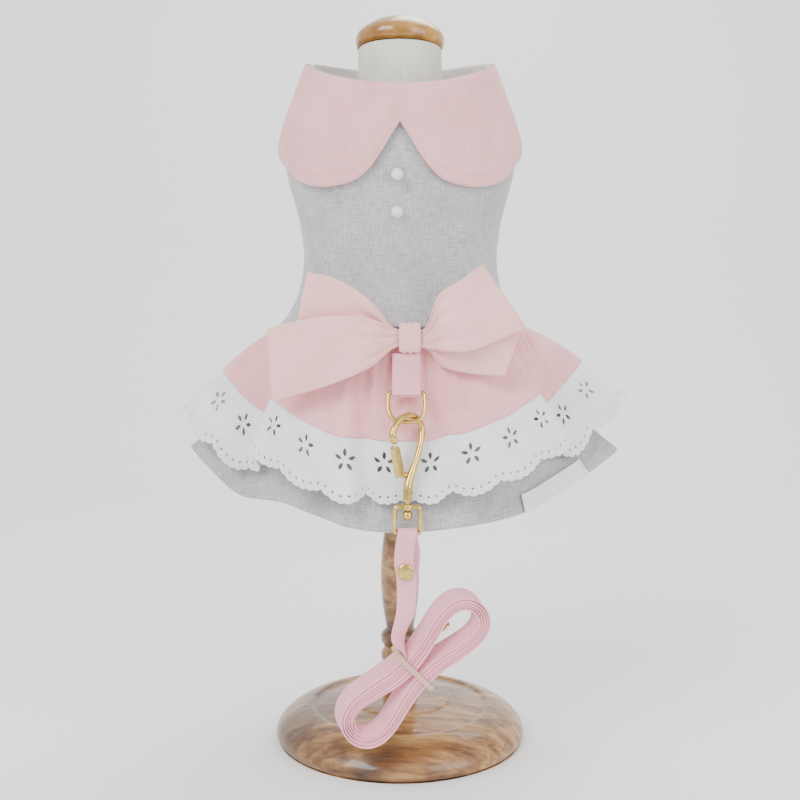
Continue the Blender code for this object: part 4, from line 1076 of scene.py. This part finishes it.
    def build(self, finishes: Finishes) -> None:
        """Build the trim and its embroidery: thread round each hole, along the edge and in dotted arcs."""
        places, faces = self.pattern()
        verts, _ = self.lay(places[:, 0], places[:, 1])
        trim = Shape().mesh(verts, faces, places).build("lace_trim_looks", finishes["lace"], 0.5 * MM, 70)
        place(trim, Slot.LACE, "lace_trim")
        thread = Shape()
        for hole in self.holes():
            rim = self.outline(hole, 12 if hole[2] > 2 else 8, 0.12)
            path, normal = self.lay(rim[:, 0], rim[:, 1], 0.2 * MM)
            points = ribbon_ring(path, normal, 0.34 * MM if hole[2] > 2 else 0.3 * MM, 5)
            thread.grid(points, np.zeros((*points.shape[:2], 2)))
        x = np.linspace(0, self.total, self.flowers * self.bumps * 8 + 1)[:-1]
        path, normal = self.lay(x, self.edge(x) + 0.1, 0.0)
        points = ribbon_ring(path, normal, 0.45 * MM, 6)
        thread.grid(points, np.zeros((*points.shape[:2], 2)))
        x = np.linspace(0, self.total, 2400)
        for lift, stitch, gap in ((5.0, 1.3, 0.9), (6.4, 0.8, 1.2)):
            y = -self.height + self.scallop * (1 - np.abs(np.sin(np.pi * x / self.repeat)) ** 0.8) + lift
            path, normal = self.lay(x, y, 0.28 * MM)
            stitches(thread, path, normal, stitch, gap, 0.3)
        place(thread.build("lace_embroidery", finishes["white_thread"], crease=80), Slot.LACE)


@dataclass
class Skirt:
    """The pink tier, its white trim, the grey tier and the blank hem label."""

    columns: int = 780
    lace: Lace = field(default_factory=Lace)

    def tier(self, name: str, surface: Callable, shares: np.ndarray, material: bpy.types.Material) -> bpy.types.Object:
        """One tier, 1 mm cloth, from its surface and the shares of its height."""
        angle = np.linspace(-np.pi, np.pi, self.columns + 1)
        points = surface(np.broadcast_to(angle, (len(shares), len(angle))), shares[:, None] + 0 * angle)
        points[:, -1] = points[:, 0]
        return Shape().grid(points).build(name, material, FINE_CLOTH, 70)

    def hem(self, name: str, surface: Callable, share: float, material: bpy.types.Material, slot: Slot) -> None:
        """Row of stitches along a tier at one share of its height."""
        angle = np.linspace(-np.pi, np.pi, 3000)
        level = np.full_like(angle, share)
        normal = normals_of(surface, angle, level)
        shape = Shape()
        stitches(shape, surface(angle, level) + normal * (FINE_CLOTH / 2 - 0.02 * MM), normal, 2.1, 0.9, 0.22)
        place(shape.build(name, material, crease=80), slot)

    def build(self, finishes: Finishes) -> None:
        """Build and dress the skirt's pieces."""
        upper = self.tier("skirt_upper_looks", upper_tier, np.linspace(0, self.lace.start + 0.004, 56),
                          finishes["skirt"])
        place(upper, Slot.PINK, "skirt_upper")
        self.hem("skirt_upper_stitches", upper_tier, self.lace.start - 0.02, finishes["pink_thread"], Slot.PINK)
        self.lace.build(finishes)
        lower = self.tier("skirt_lower_looks", lower_tier, np.linspace(0, 1, 58), finishes["linen"])
        place(lower, Slot.LINEN, "skirt_lower")
        self.hem("skirt_lower_stitches", lower_tier, 0.93, finishes["grey_thread"], Slot.LINEN)
        angle = np.radians(np.linspace(50, 80, 90))[None, :] + np.zeros((16, 1))
        share = np.linspace(0.905, 1.005, 16)[:, None] + 0 * angle
        label = lower_tier(angle, share) + normals_of(lower_tier, angle, share) * 1.7 * MM
        item = place(Shape().grid(label).build("hem_label_looks", finishes["satin"], 0.5 * MM), Slot.SATIN, "hem_label")


@dataclass
class Bow:
    """Two crossing ribbons 38 mm wide, pinched by a knot band."""

    width: float = 38.0 * MM
    x: float = 5.2 * MM
    z: float = 238.2 * MM
    reach: float = -64.2 * MM
    layer: float = 2.6 * MM
    knot: tuple[float, float] = (11.5 * MM, 12.5 * MM)

    def ribbon(self, name: str, rows: tuple, y: float, seed: int, finishes: Finishes) -> None:
        """One ribbon: its stations joined smoothly, crowned, with pleats that run into the knot and fade out."""
        stations = spline(np.asarray(rows), 16)
        ux, uz, lx, lz, lift = (stations * self.width).T[:, :, None]
        across = np.linspace(0, 1, 49)
        x = self.x + ux + (lx - ux) * across
        z = self.z + uz + (lz - uz) * across
        open_share = np.clip((uz - lz) / self.width, 0, 1)
        crown = 0.05 * self.width * 4 * across * (1 - across) * np.clip(open_share - 0.3, 0, None)
        from_knot = np.abs(x - self.x) / self.width
        fade = np.exp(-((from_knot - 0.2).clip(0) / 0.42) ** 2)
        rng = np.random.default_rng(seed)
        pleat = sum(deep * np.cos(2 * np.pi * (n * across + rng.uniform()))
                    for n, deep in ((1.5, 0.6), (3.0, 0.7), (4.5, 0.65))) * MM * fade
        sway = 0.5 * MM * np.sin(5.5 * from_knot + 2 * across + seed) * np.clip(from_knot - 0.5, 0, 1)
        pleat = pleat * np.clip((from_knot - 0.12) / 0.25, 0, 1)
        points = np.stack([x, y - lift - crown - pleat - sway, z], axis=-1)
        middle = points[:, 24]
        run = np.concatenate([[0], np.cumsum(np.linalg.norm(np.diff(middle, axis=0), axis=1))]) / MM
        uv = np.stack(np.broadcast_arrays(run[:, None], across * self.width / MM), axis=-1)
        item = Shape().grid(points, uv).build(name + "_looks", finishes["ribbon"], 0.7 * MM)
        place(item, Slot.RIBBON, name)

    def build(self, finishes: Finishes) -> None:
        """Build the bow's three pieces."""
        self.ribbon("bow_front", BOW_FRONT_ROWS, self.reach, 3, finishes)
        self.ribbon("bow_back", BOW_BACK_ROWS, self.reach + self.layer, 4, finishes)
        turn = np.linspace(0, 2 * np.pi, 97)
        turn[-1] = 0.0
        wall = CLOTH / 2
        deep = self.layer / 2 + FINE_CLOTH / 2 + 2 * GAP + wall
        tall = self.knot[1] / 2 + GAP + wall
        across = np.linspace(-1, 1, 41)[:, None]
        fold = 0.3 * MM * np.cos(2 * np.pi * 1.6 * across + 0.6 * np.sin(turn)) + 0.25 * MM * (1 - across**2)
        c, s = np.cos(turn), np.sin(turn)
        y = self.reach + self.layer / 2 + (deep + fold) * np.sign(c) * np.abs(c) ** 0.6
        z = self.z + (tall + fold) * np.sign(s) * np.abs(s) ** 0.6
        x = self.x + across * self.knot[0] / 2 * (1 - 0.06 * np.abs(s))
        points = np.stack(np.broadcast_arrays(x, y, z), axis=-1)
        uv = arc_uv(points)
        item = place(Shape().grid(points, uv).build("bow_knot_looks", finishes["ribbon"], 0.9 * MM), Slot.RIBBON,
                     "bow_knot")


def closed_curve(points: np.ndarray, steps: int) -> np.ndarray:
    """Smooth closed curve through points that don't repeat the first."""
    p = np.asarray(points, dtype=float)
    wrapped = np.vstack([p[-2:], p, p[:3]])
    return spline(wrapped, steps)[2 * steps:(2 + len(p)) * steps]


def hook_place(x: float, z: float) -> np.ndarray:
    """Place on the hook's warped plane, for an x and a height in millimetres."""
    lean = -79.6 - 0.1935 * (198 - z)
    turn = 0.3 + 0.6 * min(max((z - 165) / 25, 0), 1)
    return np.array([x, lean + turn * (x - 4), z]) * MM


def disc(centre: np.ndarray, way: np.ndarray, outline: tuple, sides: int = 48) -> np.ndarray:
    """Turned stud: an outline of (radius, height) in millimetres round an axis."""
    way = np.asarray(way, dtype=float) / np.linalg.norm(way)
    side = np.cross(way, (0.0, 1.0, 0.0) if abs(way[1]) < 0.9 else (1.0, 0.0, 0.0))
    side /= np.linalg.norm(side)
    other = np.cross(way, side)
    turn = np.linspace(0, 2 * np.pi, sides + 1)
    turn[-1] = 0.0
    rows = np.asarray(outline) * MM
    ring = side * np.cos(turn)[:, None] + other * np.sin(turn)[:, None]
    return np.asarray(centre) + rows[:, :1, None] * ring[None] + rows[:, 1:, None] * way


def sphere_outline(radius: float, rings: int = 20) -> tuple:
    """Outline of a ball for the turned stud, in millimetres."""
    lift = np.linspace(-np.pi / 2, np.pi / 2, rings)
    r = radius * np.cos(lift)
    r[[0, -1]] = 0.0
    return tuple(zip(r, radius * np.sin(lift)))


@dataclass
class Fittings:
    """Webbing tab, D-ring, swivel snap hook with its sprung gate, and the eye."""

    ring_x: float = 3.4 * MM
    ring_y: float = -71.5 * MM
    bar: float = 209.8 * MM
    wire: float = 1.15 * MM
    half: float = 9.6 * MM
    drop: float = 14.6 * MM
    lean: float = 7.5 * MM
    arm: float = 1.65 * MM
    eye_wire: float = 1.2 * MM
    eye: tuple[float, float] = (6.6 * MM, 13.6 * MM)
    eye_top: float = 152.4 * MM

    def tab(self, finishes: Finishes) -> None:
        """Webbing, 15 mm wide, folded round the ring's bar and stitched across."""
        fold = self.wire + 1.5 * GAP + 0.5 * MM
        bend = np.linspace(0, np.pi, 7)
        loop = [(self.ring_y + fold * math.cos(b), self.bar - fold * math.sin(b)) for b in bend]
        path = [(-60.7 * MM, 0.2297), (-65.0 * MM, 0.219)] + loop + [(-67.6 * MM, 0.219), (-62.7 * MM, 0.2297)]
        path = spline(np.array([(self.ring_x, y, z) for y, z in path]), 10)
        points = strap(path, (1, 0, 0), 15 * MM, 1.0 * MM)
        item = Shape().grid(points, strap_uv(points, 15 * MM)).build("ring_tab_looks", finishes["webbing"])
        place(item, Slot.WEBBING, "ring_tab")
        thread = Shape()
        for z in (0.2155, 0.2185):
            y = np.interp(z, path[::-1][:40, 2][::1][np.argsort(path[::-1][:40, 2])],
                          path[::-1][:40, 1][np.argsort(path[::-1][:40, 2])])
            line = np.array([(self.ring_x + s, min(y, -64 * MM) - 0.55 * MM, z) for s in np.linspace(-6.5, 6.5, 40) * MM])
            stitches(thread, line, np.broadcast_to((0.0, -1.0, 0.0), line.shape), 1.6, 0.6, 0.22)
        place(thread.build("tab_stitches", finishes["pink_thread"], crease=80), Slot.WEBBING)

    def ring(self, finishes: Finishes) -> None:
        """D-ring of 2.3 mm wire, leaning out under the hook's pull."""
        w, d = self.half, self.drop
        half = [(0.0, 0.0), (0.5 * w, 0.0), (0.82 * w, 0.0), (0.97 * w, 0.05 * d), (w, 0.16 * d), (w, 0.5 * d),
                (0.9 * w, 0.76 * d), (0.62 * w, 0.955 * d), (0.3 * w, d), (0.0, 1.01 * d)]
        outline = half + [(-x, z) for x, z in half[-2:0:-1]]
        path = np.array([(self.ring_x + x, self.ring_y - self.lean * z / d, self.bar - z) for x, z in outline])
        points = tube(closed_curve(path, 8), self.wire, 20, closed=True)
        place(Shape().grid(points).build("d_ring_looks", finishes["gilt"], crease=80), Slot.GILT, "d_ring")

    def hook(self, finishes: Finishes) -> np.ndarray:
        """Cast hook, its gate and the eye.

        Returns:
            Middle of the eye's lower bar.
        """
        arm = [(3.8, 155.4), (3.9, 160), (4.6, 165), (6.6, 171), (9.4, 179), (11.2, 187), (10.9, 193),
               (8.0, 197.3), (4.3, 198.5), (0.3, 197), (-2.7, 193), (-3.9, 189), (-3.4, 186.4)]
        path = spline(np.array([hook_place(x, z) for x, z in arm]), 12)
        size = np.interp(np.linspace(0, 1, len(path)), (0, 0.12, 0.2, 0.3, 1), (1.3, 1.5, 1.35, 1.0, 1.0))
        pivot, tip, spine = hook_place(0.0, 169.6), hook_place(-2.2, 183.5), hook_place(10.7, 183.5)
        along = tip - pivot
        length = np.linalg.norm(along)
        along = along / length
        axis = np.cross(along, spine - tip)
        axis /= np.linalg.norm(axis)
        inward = np.cross(axis, along)
        stem = hook_place(3.8, 155.4)
        ball = np.array([stem[0], stem[1], self.eye_top - (1.3 + 0.35 + 2.7) * MM])
        shape = Shape().grid(tube(path, self.arm * size, 24, face=(0.3, 1, 0)))
        shape.grid(disc(hook_place(-3.0, 186.4), along, sphere_outline(2.05)))
        shape.grid(tube(np.array([pivot - axis * 2.55 * MM, pivot - axis * 1.5 * MM, pivot + axis * 1.5 * MM,
                                  pivot + axis * 2.55 * MM]), 0.8 * MM, 20, face=tuple(along)))
        lug = ((0.0, -1.0), (1.55, -1.0), (1.8, -0.75), (1.8, 0.75), (1.55, 1.0), (0.0, 1.0))
        shape.grid(disc(pivot, axis, lug))
        web = np.array([pivot - along * 0.6 * MM, pivot + inward * 2.4 * MM - along * 1.6 * MM,
                        pivot + inward * 5.2 * MM - along * 2.4 * MM])
        shape.grid(tube(spline(web, 8), np.linspace(1.0, 1.9, 17) * MM, 16, face=tuple(axis)))
        shape.grid(tube(np.array([stem + (0, 0, 1 * MM), ball]), 1.2 * MM, 20))
        shape.grid(disc(ball, (0, 0, 1), sphere_outline(2.7)))
        collar = ((0.0, -0.55), (2.4, -0.55), (2.75, -0.2), (2.75, 0.2), (2.4, 0.55), (0.0, 0.55))
        shape.grid(disc(stem + (0, 0, 0.2 * MM), (0, 0, 1), collar))
        place(shape.build("hook_body_looks", finishes["gilt"], crease=60), Slot.GILT, "hook_body")
        self.gate(pivot, along, inward, axis, length, finishes)

        w, h = self.eye
        half = [(0.0, 0.0), (0.6 * w, 0.0), (0.86 * w, 0.02 * h), (0.98 * w, 0.1 * h), (w, 0.25 * h),
                (w, 0.75 * h), (0.98 * w, 0.9 * h), (0.86 * w, 0.985 * h), (0.6 * w, h), (0.0, h)]
        outline = half + [(-x, z) for x, z in half[-2:0:-1]]
        path = np.array([(stem[0] + x, stem[1], self.eye_top - z) for x, z in outline])
        eye = Shape().grid(tube(closed_curve(path, 8), self.eye_wire, 20, closed=True))
        boss = ((1.6, -1.3), (2.7, -1.3), (3.0, -1.0), (3.0, 1.0), (2.7, 1.3), (1.6, 1.3), (1.6, -1.3))
        eye.grid(disc(np.array([stem[0], stem[1], self.eye_top]), (0, 0, 1), boss))
        place(eye.build("swivel_eye_looks", finishes["gilt"], crease=60), Slot.GILT, "swivel_eye")
        return np.array([stem[0], stem[1], self.eye_top - h])

    def gate(self, pivot: np.ndarray, along: np.ndarray, inward: np.ndarray, axis: np.ndarray, length: float,
             finishes: Finishes) -> None:
        """Sprung gate: a thin channel pressed round the pin, open towards the hook, narrowing to its tip."""
        a = np.linspace(-2.0 * MM, length, 40)[:, None]
        share = (a + 2.0 * MM) / (length + 2.0 * MM)
        deep = (1.4 - 0.9 * share**2) * MM
        t = np.linspace(-1, 1, 41)
        bend = np.clip((np.abs(t) - 0.45) / 0.55, 0, 1)
        c = np.where(np.abs(t) < 0.45, np.sin(np.pi / 2 * t / 0.45), np.sign(t)) * 1.8 * MM
        b = np.where(np.abs(t) < 0.45, -2.6 * MM + 1.2 * MM * (1 - np.cos(np.pi / 2 * t / 0.45)), 0.0)
        b = b + np.where(np.abs(t) < 0.45, 0.0, -1.4 * MM + (deep + 1.4 * MM) * bend)
        end = 1 - 0.35 * np.clip((share - 0.93) / 0.07, 0, 1) ** 2
        points = pivot + a[..., None] * along + (b * end)[..., None] * inward + (c + 0 * a)[..., None] * axis
        item = Shape().grid(points).build("hook_gate_looks", finishes["gilt"], 0.75 * MM, 60)
        place(item, Slot.GILT, "hook_gate", body=Body.GATE)

    def build(self, finishes: Finishes) -> np.ndarray:
        """Build and dress the fittings; returns the middle of the eye's lower bar."""
        self.tab(finishes)
        self.ring(finishes)
        return self.hook(finishes)


@dataclass
class Leash:
    """Flat webbing leash, 10 mm wide: the lead from the eye, the coiled hank, its tie and the studs."""

    width: float = 10.0 * MM
    thick: float = 1.0 * MM
    layers: float = 5.0
    half_length: float = 42.0 * MM
    waist: float = 0.8 * MM
    lobe: float = 15.0 * MM
    pitch: float = 1.35 * MM
    start: float = -0.04
    centre: np.ndarray = field(default_factory=lambda: np.array([6.5, -88.8, 69.0]) * MM)
    turn: float = math.radians(46.0)

    def __post_init__(self) -> None:
        """Set the coil's directions: along it, out of it, and the webbing's width."""
        self.along = np.array([math.cos(self.turn), 0.0, math.sin(self.turn)])
        self.out = np.array([-math.sin(self.turn), 0.0, math.cos(self.turn)])
        self.across = np.array([0.0, 0.82, 0.0]) + self.out * 0.57

    def coil(self, turn: np.ndarray) -> np.ndarray:
        """Place on the flat coil: a loop of two lobes pinched at the middle, set outwards once for each layer."""
        angle = np.asarray(turn) + np.pi / 2

        def loop(t: np.ndarray) -> np.ndarray:
            """The innermost loop."""
            return np.stack([self.half_length * np.cos(t), np.sin(t) * (self.waist + self.lobe * np.cos(t) ** 2)],
                            axis=-1)
        way = loop(angle + 1e-4) - loop(angle - 1e-4)
        way /= np.linalg.norm(way, axis=-1, keepdims=True)
        out = np.stack([way[..., 1], -way[..., 0]], axis=-1)
        spread = self.pitch * (self.layers - np.asarray(turn) / (2 * np.pi))
        flat = loop(angle) + out * (spread[..., None] + self.thick)
        return self.centre + flat[..., :1] * self.along + flat[..., 1:] * self.out

    def build(self, bar: np.ndarray, eye_wire: float, finishes: Finishes) -> None:
        """Build and dress the leash.

        Args:
            bar: middle of the eye's lower bar.
            eye_wire: half thickness of the eye's wire.
            finishes: the finishes.
        """
        f = (eye_wire + 1.5 * GAP + self.thick / 2) / MM
        x, y, z = bar / MM
        end = self.coil(np.array(self.start)) / MM
        way = self.coil(np.array(self.start + 0.02)) / MM - end
        way /= np.linalg.norm(way)
        end = end - way * 0.4
        route = [(x + 0.2, y + f + 0.2, 107.3), (x + 0.8, y + f + 0.2, 118), (x + 1.6, y + f + 0.1, 128),
                 (x + 0.4, y + f, z - 2.5)]
        route += [(x, y + f * math.cos(b), z + f * math.sin(b)) for b in np.linspace(0, np.pi, 7)]
        route += [(x - 1.2, y - f - 0.3, 133), (x - 1.8, y - f - 0.5, 124), (x - 0.6, y - f - 0.4, 115),
                  (x - 0.8, y - f - 1.6, 99.5), (x - 4.4, y - f - 3.4, 87), tuple(end - way * 3 + self.out * 2.4),
                  tuple(end)]
        path = spline(np.array(route) * MM, 12)
        blend = np.linspace(0, 1, len(path)).clip(0.80, 1.0)[:, None] * 5 - 4
        points = strap(path, np.array([1.0, 0, 0]) * (1 - blend) + self.across * blend, self.width, self.thick)
        lead = Shape().grid(points, strap_uv(points, self.width)).build("leash_lead_looks", finishes["webbing"])
        place(lead, Slot.WEBBING, "leash_lead")

        turn = np.linspace(self.start, 2 * np.pi * (self.layers + 0.25), 1100)
        coil = self.coil(turn)
        wander = 0.45 * MM * np.sin(3.1 * turn + 0.7) + 0.35 * MM * np.sin(1.3 * turn + 2.0)
        points = strap(coil + self.across * wander[:, None], self.across, self.width, self.thick)
        hank = Shape().grid(points, strap_uv(points, self.width)).build("leash_hank_looks", finishes["webbing"])
        place(hank, Slot.WEBBING, "leash_hank")
        run = np.linalg.norm(np.diff(coil, axis=0), axis=1).sum() + np.linalg.norm(np.diff(path, axis=0), axis=1).sum()
        LOG.info("leash webbing: %.3f m", run)

        reach = self.waist + self.thick * 1.5 + self.pitch * self.layers + 2 * GAP
        half = self.width / 2 + GAP * 2
        ring = [self.out * reach * a + self.across * half * b
                for a, b in ((1, 1), (1.05, 0), (1, -1), (0, -1.08), (-1, -1), (-1.05, 0), (-1, 1), (0, 1.08))]
        ring = closed_curve(np.array(ring) * 1.03, 10)
        ring = np.concatenate([ring, ring[:1]])
        side = np.linspace(-1.3, 1.3, 9)[:, None, None] * MM
        swell = 1 + 0.035 * (1 - (side / (1.3 * MM)) ** 2)
        points = self.centre + ring[None] * swell + side * self.along
        place(Shape().grid(points).build("leash_tie_looks", finishes["elastic"], 0.7 * MM), Slot.ELASTIC, "leash_tie")

        thread = Shape()
        front = points_at(path, 122.4 * MM, 113.6 * MM, -(self.thick / 2 + 0.02 * MM))
        for offset in (-3.6, 3.6):
            line = front + np.array([offset, 0.0, 0.0]) * MM
            stitches(thread, line, np.broadcast_to((0.0, -1.0, 0.0), line.shape), 1.5, 0.6, 0.2)
        place(thread.build("leash_stitches", finishes["pink_thread"], crease=80), Slot.WEBBING)

        stud = np.array([x - 1.1, y - f - 0.45, 119.5]) * MM - (0, self.thick / 2 + GAP, 0)
        outline = np.array([(0.0, 0.0), (3.9, 0.0), (4.2, 0.25), (4.2, 0.8), (3.95, 1.15), (3.3, 1.3), (3.1, 1.05),
                            (2.9, 1.0), (2.4, 1.25), (1.2, 1.5), (0.0, 1.55)])
        rivet = self.centre + self.along * 27 * MM + self.out * 2.2 * MM
        for name, at, way, scale in (("leash_stud", stud, (0.0, -1.0, 0.0), 1.0),
                                     ("hank_rivet", rivet, tuple(self.out), 0.7)):
            item = Shape().grid(disc(at, way, outline * (scale, 1.0))).build(name + "_looks", finishes["gilt"])
            place(item, Slot.GILT, name)


def points_at(path: np.ndarray, high: float, low: float, shift: float) -> np.ndarray:
    """The part of a path on its outer (front) run between two heights, shifted along Y."""
    order = np.arange(len(path))
    keep = (order > np.argmax(path[:, 2])) & (path[:, 2] < high) & (path[:, 2] > low)
    return path[keep] + (0.0, shift, 0.0)


@dataclass
class Studio:
    """Pale floor and backdrop, soft lights and the photograph's view."""

    floor: str = "F4F4F4"

    def light(self, name: str, where: tuple, size: float, power: float, colour: str = "FFFFFF") -> None:
        """One square area light aimed at the dress."""
        data = bpy.data.lights.new(name, "AREA")
        data.shape, data.size, data.energy, data.color = "SQUARE", size, power, linear(colour)[:3]
        item = bpy.data.objects.new(name, data)
        bpy.context.scene.collection.objects.link(item)
        item.location = where
        away = np.asarray(where) - np.array([0.0, 0.0, 0.2])
        item.rotation_euler = (math.acos(away[2] / np.linalg.norm(away)), 0.0, math.atan2(away[0], -away[1]))

    def build(self) -> None:
        """Build the floor that curves up behind, the lights and the camera."""
        x = np.linspace(-2.5, 2.5, 3)
        y = np.concatenate([[-2.0, 0.6], 0.9 + 0.4 * np.sin(np.linspace(0, np.pi / 2, 16)), [1.3]])
        z = np.concatenate([[0.0, 0.0], 0.4 - 0.4 * np.cos(np.linspace(0, np.pi / 2, 16)), [3.0]])
        points = np.stack(np.broadcast_arrays(x[None, :], y[:, None], z[:, None]), axis=-1)
        material, _, shader = new_material("paper_backdrop_white")
        shader.inputs["Base Color"].default_value = linear(self.floor)
        shader.inputs["Roughness"].default_value = 0.9
        Shape().grid(points).build("floor", material, crease=80)
        world = bpy.data.worlds.new("studio")
        bpy.context.scene.world = world
        world.use_nodes = True
        background = world.node_tree.nodes["Background"]
        background.inputs[0].default_value = linear("FFFFFF")
        background.inputs[1].default_value = 1.15
        self.light("key", (-0.9, -1.1, 1.3), 0.9, 26.0)
        self.light("fill", (1.1, -1.0, 0.8), 1.0, 13.0)
        self.light("back", (0.3, 0.7, 1.4), 0.8, 11.0)
        data = bpy.data.cameras.new("view")
        data.lens, data.sensor_width = 48.03, 36.0
        camera = bpy.data.objects.new("view", data)
        bpy.context.scene.collection.objects.link(camera)
        camera.location = (0.0, -0.6271, 0.2463)
        camera.rotation_euler = (math.radians(90 - 4.16), 0.0, 0.0)
        bpy.context.scene.camera = camera


def main() -> None:
    """Build every piece in order, from the stand to the leash, then the studio."""
    logging.basicConfig(level=logging.INFO, format="%(message)s")
    finishes = Finishes()
    finishes.build()
    Stand().build(finishes)
    Bodice().build(finishes)
    Skirt().build(finishes)
    Bow().build(finishes)
    fittings = Fittings()
    Leash().build(fittings.build(finishes), fittings.eye_wire, finishes)
    Studio().build()


if __name__ == "__main__":
    main()
